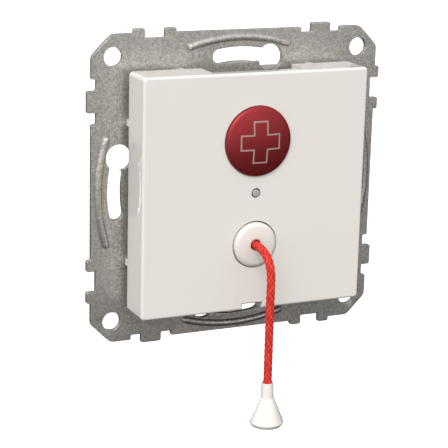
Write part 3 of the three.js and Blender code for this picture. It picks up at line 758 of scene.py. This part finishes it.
# %% Spin the handle
CORD_HANG_Y = -21.2
HANDLE_CORNERS = [
    (1.14, -46.6, 0.1),
    (1.14, -42.3, 0.08),
    (1.36, -42.3, 0.1),
    (1.5, -45.95, 0.06),
    (1.72, -46.2, 0.12),
    (3.98, -51.7, 0.2),
    (3.4, -52.6, 0.2),
    (3.2, -52.6, 0.1),
    (3.0, -51.8, 0.2),
    (1.5, -47.2, 0.2),
    (1.5, -46.6, 0.1),
]
handle = complete(
    as_object(turned(rounded(HANDLE_CORNERS), "Z", (0, CORD_HANG_Y, 0), 96, closed=True), "bell_handle"),
    "cord", WHITE, ["cord_handle"],
)

# %% [markdown]
# ## The stopper knot
#
# The cord ends in a tight overhand knot inside the bell, which carries the pull. The middle line of
# an overhand knot is a trefoil, so a short formula lays it, and a curve's round bevel gives it the
# thickness of squeezed cord. It shows only from below.

# %% Tie the knot
KNOT_MIDDLE = -48.45
KNOT_YARN_RADIUS = 0.72
KNOT_RADIUS = 0.95
KNOT_THICKNESS = (0.42, 0.72)


def trefoil(share):
    """A point on the knot's middle line, which winds twice round while it rises and falls thrice."""
    angle = 2 * math.pi * share
    reach = KNOT_RADIUS + KNOT_THICKNESS[0] * math.cos(3 * angle)
    return Vector((
        reach * math.cos(2 * angle),
        CORD_HANG_Y + reach * math.sin(2 * angle),
        KNOT_MIDDLE + KNOT_THICKNESS[1] * math.sin(3 * angle),
    ))


def round_cord(points, radius, name, cyclic):
    """A mesh of a round cord through points, made with a curve's bevel."""
    data = bpy.data.curves.new(name, "CURVE")
    data.dimensions = "3D"
    data.bevel_depth = radius
    data.bevel_resolution = 6
    data.use_fill_caps = True
    spline = data.splines.new("POLY")
    spline.points.add(len(points) - 1)
    spline.use_cyclic_u = cyclic
    for target, point in zip(spline.points, points):
        target.co = (*point, 1)
    curve = bpy.data.objects.new(name, data)
    bpy.context.scene.collection.objects.link(curve)
    mesh = bpy.data.meshes.new_from_object(curve)
    bpy.data.objects.remove(curve)
    bm = bmesh.new()
    bm.from_mesh(mesh)
    face_outwards(bm)
    return bm


def knot_layers(bm):
    """Gives a knot crown and yarn values for the cord's finish. Its low crown bands paint braid shade on the
    smooth knot.
    """
    crown_layer = bm.verts.layers.float.new("crown")
    yarn_layer = bm.verts.layers.float.new("yarn")
    for vert in bm.verts:
        slant = vert.co.z * 2.6 + math.atan2(vert.co.y - CORD_HANG_Y, vert.co.x) * 3
        # Low crown values here are painted shade, as if a braid's valleys lay on the smooth knot.
        vert[crown_layer] = 0.55 + 0.45 * math.sin(slant * 3)
        vert[yarn_layer] = 0.5 + 0.5 * math.sin(slant)
    return bm


knot_points = [trefoil(i / 120) for i in range(120)]
knot = complete(
    as_object(knot_layers(round_cord(knot_points, KNOT_YARN_RADIUS, "stopper", True)), "stopper_knot"),
    "cord", YARN, ["handle_knot"],
)

# %% [markdown]
# ## The cord's route in metres
#
# The cord is limp and hangs by its own weight. Its route runs the whole way, from the knot in the
# slider behind the cover to the knot in the handle, and here its points are turned into metres.

[point * MM for point in cord_line]

# %% [markdown]
# ## The steel plate
#
# The plate is cut by one stroke of a press tool: a square with clipped corners, small lugs and
# notches that turn clockwise round its edge, four corner holes, and four curved slots with
# keyholes for the wall box's screws. A filled flat curve with a fine bevel makes such a sheet in
# one go, holes included. One side is described, and a quarter turn gives the other three.

# %% Outline of the plate
PLATE_HALF = 35.5
PLATE_THICKNESS = 1.2
CORNER_CUT = 4.7
LUG = 1.0
DENT = -1.15
PRESS_EDGE = 0.09
SIDE = [
    (-25.7, 0, 0.3), (-25.7, LUG, 0.45), (-23, LUG, 0.45), (-23, DENT, 0.3),
    (-18.2, DENT, 0.3), (-18.2, LUG, 0.45), (-15.5, LUG, 0.45), (-15.5, 0, 0.3),
    (15.6, 0, 0.35), (15.6, DENT, 0.3), (18.2, DENT, 0.3), (18.2, LUG, 0.45),
    (23.1, LUG, 0.45), (23.1, DENT, 0.3), (25.7, DENT, 0.3), (25.7, 0, 0.35),
]


def quarter_turns(x, z, turns):
    """A point turned clockwise, as seen from the room."""
    for _ in range(turns):
        x, z = z, -x
    return x, z


def arc(x, z, radius, start, end, steps=24):
    """Points on an arc, with angles in degrees, anticlockwise from the right."""
    angles = [math.radians(start + (end - start) * i / steps) for i in range(steps + 1)]
    return [Vector((x + radius * math.cos(a), z + radius * math.sin(a))) for a in angles]


def plate_outline():
    straight = PLATE_HALF - CORNER_CUT
    corners = []
    for turns in range(4):
        for along, height, radius in [(-straight, 0, 1), *SIDE, (straight, 0, 1)]:
            corners.append((*quarter_turns(along, PLATE_HALF + height, turns), radius))
    return rounded(corners)


CORNER_HOLE_AT = 30.5
CORNER_HOLE_R = 2.15
CORNER_HOLE_POINTS = 48
SLOT_R = 30
SLOT_HALF_WIDTH = 1.65
SLOT_SPAN = (-9.4, 15)
KEYHOLE_R = 3.05


def screw_slot(turns):
    """The outline of a curved slot with a round end that opens into a keyhole at its other end."""
    start, end = (90 - angle for angle in SLOT_SPAN)
    keyhole = math.radians(end)
    inner, outer = SLOT_R - SLOT_HALF_WIDTH, SLOT_R + SLOT_HALF_WIDTH
    half_mouth = math.degrees(math.asin(SLOT_HALF_WIDTH / KEYHOLE_R))
    at = (SLOT_R * math.cos(keyhole), SLOT_R * math.sin(keyhole))
    mouth = math.degrees(KEYHOLE_R * math.cos(math.radians(half_mouth)) / SLOT_R)
    outline = arc(0, 0, inner, start, end + mouth)
    outline += arc(*at, KEYHOLE_R, end + 90 + half_mouth, end + 450 - half_mouth)
    outline += arc(0, 0, outer, end + mouth, start)
    around = math.radians(start)
    end_at = (SLOT_R * math.cos(around), SLOT_R * math.sin(around))
    outline += arc(*end_at, SLOT_HALF_WIDTH, start, start + 180)[1:-1]
    return [Vector(quarter_turns(point.x, point.y, turns)) for point in outline]


print(len(plate_outline()), "points round the plate,", len(screw_slot(0)), "round a slot")

# %% Fill the outline and give it thickness
def sheet_from(outlines, y_front, y_rear, edge):
    """A flat sheet in the XZ plane from an outline and its holes, with its edges rounded."""
    data = bpy.data.curves.new("sheet", "CURVE")
    data.dimensions = "2D"
    data.fill_mode = "BOTH"
    data.extrude = (y_rear - y_front) / 2 - edge
    data.bevel_depth = edge
    data.bevel_resolution = 2
    data.offset = -edge
    for outline in outlines:
        spline = data.splines.new("POLY")
        spline.points.add(len(outline) - 1)
        spline.use_cyclic_u = True
        for target, point in zip(spline.points, outline):
            target.co = (point.x, point.y, 0, 1)
    curve = bpy.data.objects.new("sheet", data)
    bpy.context.scene.collection.objects.link(curve)
    mesh = bpy.data.meshes.new_from_object(curve)
    bpy.data.objects.remove(curve)
    bm = bmesh.new()
    bm.from_mesh(mesh)
    stand_up = Matrix.Translation((0, (y_front + y_rear) / 2, 0)) @ Matrix.Rotation(math.pi / 2, 4, "X")
    bmesh.ops.transform(bm, matrix=stand_up, verts=bm.verts)
    bmesh.ops.remove_doubles(bm, verts=bm.verts, dist=0.0005)
    face_outwards(bm)
    return bm


PLATE_OPENING = [(-19, -22, 4), (19, -22, 4), (19, 22, 4), (-19, 22, 4)]
holes = [rounded(PLATE_OPENING, 8)]
for turns in range(4):
    x, z = quarter_turns(CORNER_HOLE_AT, CORNER_HOLE_AT, turns)
    last_angle = 360 - 360 / CORNER_HOLE_POINTS
    holes.append(arc(x, z, CORNER_HOLE_R, 0, last_angle, CORNER_HOLE_POINTS - 1))
    holes.append(screw_slot(turns))
plate = as_object(sheet_from([plate_outline(), *holes], -PLATE_THICKNESS, 0, PRESS_EDGE), "steel_plate")
loose_edges = sum(1 for edge in plate.data.edges if edge.is_loose)
print("plate blank: %d faces, %d loose edges" % (len(plate.data.polygons), loose_edges))

# %% [markdown]
# ## Pressed ribs
#
# A long shallow rib is pressed into the middle of each side, bent inwards at its ends, so that the
# thin sheet doesn't twist when it is screwed down. Each is a round bar with round ends, bent along
# an arc and flattened, and joined to the front by a Boolean. A slimmer one is taken out of the back.
# Fine score marks run from the rib to the edge, where the press tool located the sheet.

# %% Press the ribs and scratch the score marks
RIB_CREST = 33.9
RIB_BEND = 41
RIB_HALF = 13.1
RIB_WIDTH = 1.75
RIB_HEIGHT = 0.9


def rib(width, height, y, turns):
    """A flattened bar with round ends that follows the rib's arc on one side of the plate."""
    end = RIB_HALF - width / 2
    tip = [math.radians(11.25 * i) for i in range(9)]
    profile = [(width / 2 * math.sin(a), -end - width / 2 * math.cos(a)) for a in tip]
    profile += [(width / 2, end * i / 20) for i in range(-19, 20)]
    profile += [(width / 2 * math.cos(a), end + width / 2 * math.sin(a)) for a in tip]
    bm = turned(profile, "X", (0, 0, 0), 32)
    for vert in bm.verts:
        angle = vert.co.x / RIB_BEND
        out = RIB_BEND + vert.co.z
        across, up = out * math.sin(angle), RIB_CREST - RIB_BEND + out * math.cos(angle)
        x, z = quarter_turns(across, up, turns)
        vert.co = (x, y + vert.co.y * 2 * height / width, z)
    face_outwards(bm)
    return as_object(bm, "rib")


SCORE_AT = 10.2
SCORE_FROM_EDGE = 0.7
SCORE_DEPTH = 0.13
SCORE_REACH = 1.3
HOLLOW_WIDTH = RIB_WIDTH * 0.72
HOLLOW_DEPTH = RIB_HEIGHT * 0.8
HOLLOW_Y = 0.03
score_tools = []
for turns in range(4):
    for along in (-SCORE_AT, SCORE_AT):
        x, z = quarter_turns(along, PLATE_HALF - SCORE_FROM_EDGE, turns)
        half = Vector((SCORE_DEPTH, SCORE_DEPTH, SCORE_REACH))
        if turns % 2:
            half = half.zyx
        middle = Vector((x, -PLATE_THICKNESS, z))
        score_tools.append(as_object(box(middle - half, middle + half), "score"))
carve(plate, [rib(RIB_WIDTH, RIB_HEIGHT, -PLATE_THICKNESS, turns) for turns in range(4)], "UNION")
carve(plate, [rib(HOLLOW_WIDTH, HOLLOW_DEPTH, HOLLOW_Y, turns) for turns in range(4)])
carve(plate, score_tools)
complete(plate, "unit", ZINC, ["mounting_plate"])

# %% [markdown]
# ## The cover
#
# The cover is a shallow square cap. A cube with its corners and then its front edges bevelled has
# the moulding's outer shape; a second, plainer box hollows it. The round holes are cut by spun
# tools whose mouths flare, so that each hole gets its rounded lip in the same cut.

# %% Outer shape of the cover
COVER_FRONT = -12.2
COVER_REAR = -3.3
COVER_INSIDE = -10.4
COVER_HALF = cover_high.x
COVER_WALL = 1.6
COVER_CORNER_R = 0.9
COVER_EDGE_R = 0.62
HOLE_LIP = 0.07
BUTTON_Z = 12
CORD_Z = -12
BUTTON_R = 8
LENS_R = 0.85
BUSHING_R = 5.2
FIT = {"button": 0.08, "lens": 0.28, "bushing": 0.3}


def lipped_hole(radius, z):
    """A tool that cuts a round hole in the cover's face with a rounded lip."""
    lip = [
        (radius + HOLE_LIP * (1 - math.cos(a)), COVER_FRONT + HOLE_LIP * (1 - math.sin(a)))
        for a in (math.radians(15 * i) for i in range(7))
    ]
    profile = [(0, COVER_INSIDE + 1), (radius, COVER_INSIDE + 1), *lip]
    profile += [(radius + HOLE_LIP, COVER_FRONT - 1), (0, COVER_FRONT - 1)]
    return as_object(turned(profile, "Y", (0, 0, z), 96), "hole")


def cap(half, y_front, y_rear, corner_r, edge_r):
    """A square block with round corners and a round front edge."""
    return soft_block((-half, y_front, -half), (half, y_rear, half), corner_r, edge_r, y_front)


cover = as_object(cap(COVER_HALF, COVER_FRONT, COVER_REAR, COVER_CORNER_R, COVER_EDGE_R), "cover_shell")
inside = COVER_HALF - COVER_WALL
carve(cover, [as_object(cap(inside, COVER_INSIDE, 0, 0.8, 0.3), "cavity")])
print("cover shell: %d faces" % len(cover.data.polygons))

# %% [markdown]
# ## Openings of the cover
#
# Besides the three round holes, the top and bottom walls have wide windows for a screwdriver, and
# a small notch in the lower edge takes the tip of the tool that pries the cover off. Small feet on
# the rear edge hold the cover a little way off the plate, and low catches inside its side walls
# hold it on the carrier. Each is sunk a little into the wall that it is joined to.

# %% Cut the openings and add the feet
WINDOW = (-10.4, 12.3, -9.5)
NOTCH = (-2.6, 2.4, -26.1)
NOTCH_BEVEL = 0.3
TOOL_FRONT = -14
TOOL_REACH = 30
SINK = 0.5
FOOT_LENGTH = 1.5
FOOT_WIDTH = 1.2
FOOT_INSET = 0.1
FOOT_REAR = -1.55
CATCH_AT = 14
CATCH_HALF = 3
CATCH_REACH = 0.7
CATCH_Y = (-5.4, -4.6)
FEET_ALONG_X = (-14.7, 17.4)
FEET_ALONG_Z = (-16.4, 15.8)


def flared_notch():
    """A box that cuts the notch, wider towards the room so that the notch has a bevelled edge."""
    bm = box((NOTCH[0], TOOL_FRONT, -TOOL_REACH), (NOTCH[1], WINDOW[2] + 1, NOTCH[2]))
    bmesh.ops.bisect_plane(
        bm, geom=list(bm.verts) + list(bm.edges) + list(bm.faces),
        plane_co=(0, COVER_FRONT + NOTCH_BEVEL, 0), plane_no=(0, 1, 0),
    )
    flare = COVER_FRONT + NOTCH_BEVEL - TOOL_FRONT
    for vert in bm.verts:
        if vert.co.y < COVER_FRONT:
            vert.co.x += math.copysign(flare, vert.co.x)
            vert.co.z += flare
    return bm


tools = [
    lipped_hole(BUTTON_R + FIT["button"], BUTTON_Z),
    lipped_hole(LENS_R + FIT["lens"], 0),
    lipped_hole(BUSHING_R + FIT["bushing"], CORD_Z),
    as_object(box((WINDOW[0], WINDOW[2], inside - 1), (WINDOW[1], 0, TOOL_REACH), 0.25), "window"),
    as_object(box((WINDOW[0], WINDOW[2], -TOOL_REACH), (WINDOW[1], 0, 1 - inside), 0.25), "window"),
    as_object(flared_notch(), "notch"),
]
carve(cover, tools)
feet = []
outer = COVER_HALF - FOOT_INSET
for side in (1, -1):
    wall = sorted((side * (outer - FOOT_WIDTH), side * outer))
    for x in FEET_ALONG_X:
        low = (x - FOOT_LENGTH / 2, COVER_REAR - SINK, wall[0])
        feet.append(as_object(box(low, (x + FOOT_LENGTH / 2, FOOT_REAR, wall[1]), 0.1), "foot"))
    for z in FEET_ALONG_Z:
        low = (wall[0], COVER_REAR - SINK, z - FOOT_LENGTH / 2)
        feet.append(as_object(box(low, (wall[1], FOOT_REAR, z + FOOT_LENGTH / 2), 0.1), "foot"))
carve(cover, feet, "UNION")
catches = []
for side in (1, -1):
    for z in (-CATCH_AT, CATCH_AT):
        x = sorted((side * (inside - CATCH_REACH), side * (inside + 0.2)))
        low = (x[0], CATCH_Y[0], z - CATCH_HALF)
        catches.append(as_object(box(low, (x[1], CATCH_Y[1], z + CATCH_HALF), 0.1), "catch"))
carve(cover, catches, "UNION")
complete(cover, "unit", WHITE, ["centre_plate"])

# %% [markdown]
# ## The call button
#
# The button is a shallow dome that stands proud of the cover and is pushed straight in. Its rim is
# a short cylinder with a soft edge, and its face is part of a large sphere, so the profile is an
# arc from the rim to the axis. The skirt behind the cover keeps the button from falling out.

# %% Spin the button
BUTTON_RIM = -12.7
BUTTON_CROWN = -14.0
BUTTON_EDGE = 0.3
DOME_AIM = 7.2
DOME_START = 7.4
DOME_STEP = 0.25
DOME_RINGS = 29
DOME_RISE = BUTTON_RIM - BUTTON_EDGE - BUTTON_CROWN
DOME_R = ((BUTTON_R - BUTTON_EDGE) ** 2 + DOME_RISE ** 2) / (2 * DOME_RISE)


def dome_y(radius):
    """How far forward the dome's surface lies at a distance from its axis."""
    return BUTTON_CROWN + DOME_R - math.sqrt(DOME_R ** 2 - radius ** 2)


button_back = [
    (0, -11.3), (2.6, -11.3), (2.6, -9.3), (3.6, -9.3), (3.6, -11.3), (6.6, -11.3), (6.6, -9.3),
    (9.1, -9.3), (9.1, -10.1), (BUTTON_R, -10.1),
]
button_edge = rounded(
    [(BUTTON_R, -11, 0), (BUTTON_R, BUTTON_RIM - 0.1, BUTTON_EDGE), (DOME_AIM, dome_y(DOME_AIM), 0)],
    6, closed=False,
)
dome_radii = [DOME_START - i * DOME_STEP for i in range(DOME_RINGS)]
dome = [Vector((radius, dome_y(radius))) for radius in dome_radii]
profile = [Vector(point) for point in button_back] + button_edge[:-1] + dome
profile.append(Vector((0, BUTTON_CROWN)))
complete(
    as_object(turned(profile, "Y", (0, 0, BUTTON_Z), 128), "button_dome"),
    "button", RED, ["call_button"],
)

# %% [markdown]
# ## The cross on the button
#
# A pale outlined cross marks the call function. It is a thin raised line, so it starts as one flat
# cross-shaped face. Insetting that face by the width of the line and deleting the middle leaves the
# outline; it is then cut finely, laid on the dome and given its small height.

# %% Outline the cross
CROSS_REACH = 4.85
CROSS_ARM = 1.82
LINE_WIDTH = 0.35
LINE_HEIGHT = 0.05
r, a = CROSS_REACH, CROSS_ARM
bm = bmesh.new()
cross_corners = [
    (a, r), (a, a), (r, a), (r, -a), (a, -a), (a, -r),
    (-a, -r), (-a, -a), (-r, -a), (-r, a), (-a, a), (-a, r),
]
face = bm.faces.new([bm.verts.new((x, 0, z)) for x, z in cross_corners])
bm.normal_update()
bmesh.ops.inset_region(
    bm, faces=[face], thickness=LINE_WIDTH, use_boundary=True, use_even_offset=True,
)
bmesh.ops.delete(bm, geom=[face], context="FACES")
bmesh.ops.subdivide_edges(bm, edges=bm.edges, cuts=9, use_grid_fill=True)
for vert in bm.verts:
    vert.co.y = dome_y(math.hypot(vert.co.x, vert.co.z)) - LINE_HEIGHT
    vert.co.z += BUTTON_Z
bmesh.ops.recalc_face_normals(bm, faces=bm.faces)
if sum(face.normal.y for face in bm.faces) > 0:
    bmesh.ops.reverse_faces(bm, faces=bm.faces)
bmesh.ops.solidify(bm, geom=bm.faces, thickness=LINE_HEIGHT * 2)
complete(as_object(bm, "button_cross"), "button", PRINT)

# %% [markdown]
# ## The bushing and the light
#
# The cord leaves through a low white bushing with a bevelled rim and a faint dome, whose bore is
# rounded so that the cord doesn't chafe. Between button and bushing a light pipe brings the
# status light to the front. Both are spun.

# %% Spin the bushing and the light pipe
BORE_R = 1.25
BUSHING_CORNERS = [
    (BORE_R, -9.3, 0), (6.6, -9.3, 0.1), (6.6, -10.1, 0.1), (BUSHING_R, -10.1, 0),
    (BUSHING_R, -12.5, 0.12), (4.5, -13.0, 0.2), (3.3, -13.12, 0.6), (1.65, -13.2, 0.3),
    (BORE_R, -12.95, 0.15),
]
complete(
    as_object(turned(rounded(BUSHING_CORNERS), "Y", (0, 0, CORD_Z), 96, closed=True), "cord_outlet_bushing"),
    "unit", WHITE, ["cord_bushing"],
)
LIGHT_PIPE_CORNERS = [
    (0, 5.1, 0), (1.5, 5.1, 0.1), (1.5, -10.1, 0.1), (LENS_R, -10.1, 0), (LENS_R, -12.3, 0.12),
    (0, -12.36, 0),
]
complete(
    as_object(turned(rounded(LIGHT_PIPE_CORNERS, closed=False), "Y", (0, 0, 0), 48), "light_lens"),
    "unit", LENS, ["light_pipe"],
)

# %% [markdown]
# ## The housing behind the plate
#
# The housing is a wide tray for the board and, behind it, a narrower well for the terminals. The
# step between them leaves room for the wall box's screws. Both are blocks with round corners and a
# round rear edge, joined and then hollowed, with the screw bosses and board posts put back inside.

# %% Model the housing
TRAY = {"half_x": 21, "half_z": 24.8, "corner": 5, "rear": 13.5}
WELL = {"half_x": 17.8, "half_z": 23.4, "corner": 3, "rear": 22}
HOUSING_FRONT = 0.3
HOUSING_WALL = 1.6
HOUSING_FLOOR = WELL["rear"] - HOUSING_WALL
SCREW_PLACES = [(x, z) for x in (-14.6, 14.6) for z in (18.5, -18.5)]
BOARD_SCREWS = ((-8, -19), (8, 19))
TERMINAL_HALF = (10.86, 4.9)
BOSS_R, BOSS_BORE_R = 2.9, 1.5
POST_R, POST_BORE_R = 2.4, 1.2
POST_FRONT = 11.9
POST_REAR = HOUSING_FLOOR + 0.5


def housing_block(part, inset, y_front, edge_r):
    """The block of one part of the housing, made smaller all round by an inset."""
    x, z = part["half_x"] - inset, part["half_z"] - inset
    rear = part["rear"] - inset
    corner = part["corner"] - inset
    return as_object(soft_block((-x, y_front, -z), (x, rear, z), corner, edge_r, rear), "part")


housing = housing_block(TRAY, 0, HOUSING_FRONT, 0.7)
housing.name = "housing_shell"
carve(housing, [housing_block(WELL, 0, 5, 0.9)], "UNION")
hollows = [housing_block(TRAY, HOUSING_WALL, -5, 0.4), housing_block(WELL, HOUSING_WALL, -6, 0.6)]
carve(housing, hollows)
posts = [as_object(rod(BOSS_R, HOUSING_FRONT, POST_REAR, x, z), "boss") for x, z in SCREW_PLACES]
posts += [as_object(rod(POST_R, POST_FRONT, POST_REAR, x, z), "post") for x, z in BOARD_SCREWS]
carve(housing, posts, "UNION")
bores = [as_object(rod(BOSS_BORE_R, -5, 13, x, z), "bore") for x, z in SCREW_PLACES]
bores += [as_object(rod(POST_BORE_R, 5, 18, x, z), "bore") for x, z in BOARD_SCREWS]
x, z = TERMINAL_HALF
opening = soft_block((-x, HOUSING_FLOOR - 1, -z), (x, WELL["rear"] + 1, z), 0.6)
bores.append(as_object(opening, "opening"))
carve(housing, bores)
complete(housing, "unit", GREY, ["rear_housing"])

# %% [markdown]
# ## Coil springs
#
# One spring lifts the button and one draws the cord back. A real compression spring has closed
# ends, where the wire lies almost flat so that the spring stands straight, and open turns between.
# The pitch therefore follows a smooth curve instead of a plain helix.

# %% Wind the springs
COIL_STEPS = 36
END_CLOSING = 0.8


def coil(name, radius, wire, y_front, y_rear, turns, z):
    """A spring with closed ends along Y."""
    points = []
    for i in range(turns * COIL_STEPS + 1):
        share = i / (turns * COIL_STEPS)
        eased = share - END_CLOSING * math.sin(2 * math.pi * share) / (2 * math.pi)
        y = y_front + wire + (y_rear - y_front - 2 * wire) * eased
        angle = 2 * math.pi * turns * share
        points.append(Vector((radius * math.cos(angle), y, z + radius * math.sin(angle))))
    return as_object(round_cord(points, wire, name, False), name)


BUTTON_SPRING = (-7.9, -3.3)
PULL_SPRING = (-7.9, 0.5)
button_spring = complete(
    coil("button_return_spring", 4.1, 0.3, *BUTTON_SPRING, 6, BUTTON_Z),
    "unit", WIRE, ["button_spring"],
)
pull_spring = complete(
    coil("cord_return_spring", 3.25, 0.35, *PULL_SPRING, 8, CORD_Z),
    "unit", WIRE, ["pull_spring"],
)
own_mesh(button_spring)
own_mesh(pull_spring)

# %% [markdown]
# ## Kept frame parts
#
# The remaining parts are small and lie inside. Their frame shapes are right, so they stay, and only
# take a finish.

# %% Dress the kept parts
def dress(material, *names):
    for name in names:
        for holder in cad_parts[name].material_slots:
            holder.material = material
    print(material.name, "on", ", ".join(names))


def numbered(name, count):
    return ["%s_%d" % (name, i + 1) for i in range(count)]


dress(GREY, "front_carrier")
dress(BOARD, "circuit_board")
dress(BLACK, "call_switch", "pull_switch")
dress(RED, "call_switch_plunger", "pull_switch_plunger")
dress(ACETAL, "pull_slider", "button_pusher")
dress(GREEN, "terminal_block")
dress(NICKEL, *numbered("terminal_clamp", 4), *numbered("terminal_screw", 4))
dress(NICKEL, *numbered("housing_screw", 4), *numbered("board_screw", 2))
dress(WIRE, "pull_switch_lever", "lever_pin")
dress(LENS, "status_led")
dress(YARN, "cord_knot")

# %% [markdown]
# ## The floor
#
# The floor lies well below the unit, pale and matt, and fills the background. It is hidden from
# bounced and mirrored rays, because so large a bright sheet would light the unit from below and
# take away the shading of its undersides.

# %% Lay the floor
def floor_paint():
    finish = Finish("pale_floor")
    cloud = finish.noise(0.002, detail=2)
    finish.surface({
        "Base Color": finish.mix(cloud, (0.93, 0.93, 0.93, 1), (0.96, 0.96, 0.96, 1)),
        "Roughness": 0.9,
        "Emission Color": PLAIN_WHITE,
        "Emission Strength": 0.3,
    })
    return finish.material


bm = bmesh.new()
bmesh.ops.create_grid(bm, x_segments=1, y_segments=1, size=FLOOR_HALF * MM)
bmesh.ops.translate(bm, verts=bm.verts, vec=(0, 0, -FLOOR_DROP * MM))
floor = as_object(bm, "floor")
floor.data.materials.append(floor_paint())
floor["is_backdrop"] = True
floor.visible_diffuse = False
floor.visible_glossy = False
print("floor lies %.0f mm below the unit" % FLOOR_DROP)

# %% [markdown]
# ## Sizes
#
# Both boxes, the frame's and the dressed object's, are printed. The dressed object has to stay
# inside the frame's box.


dressed_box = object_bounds()
for name, corners in (("frame", frame_box), ("dressed", dressed_box)):
    print(name, [[round(value / MM, 2) for value in corner] for corner in corners])
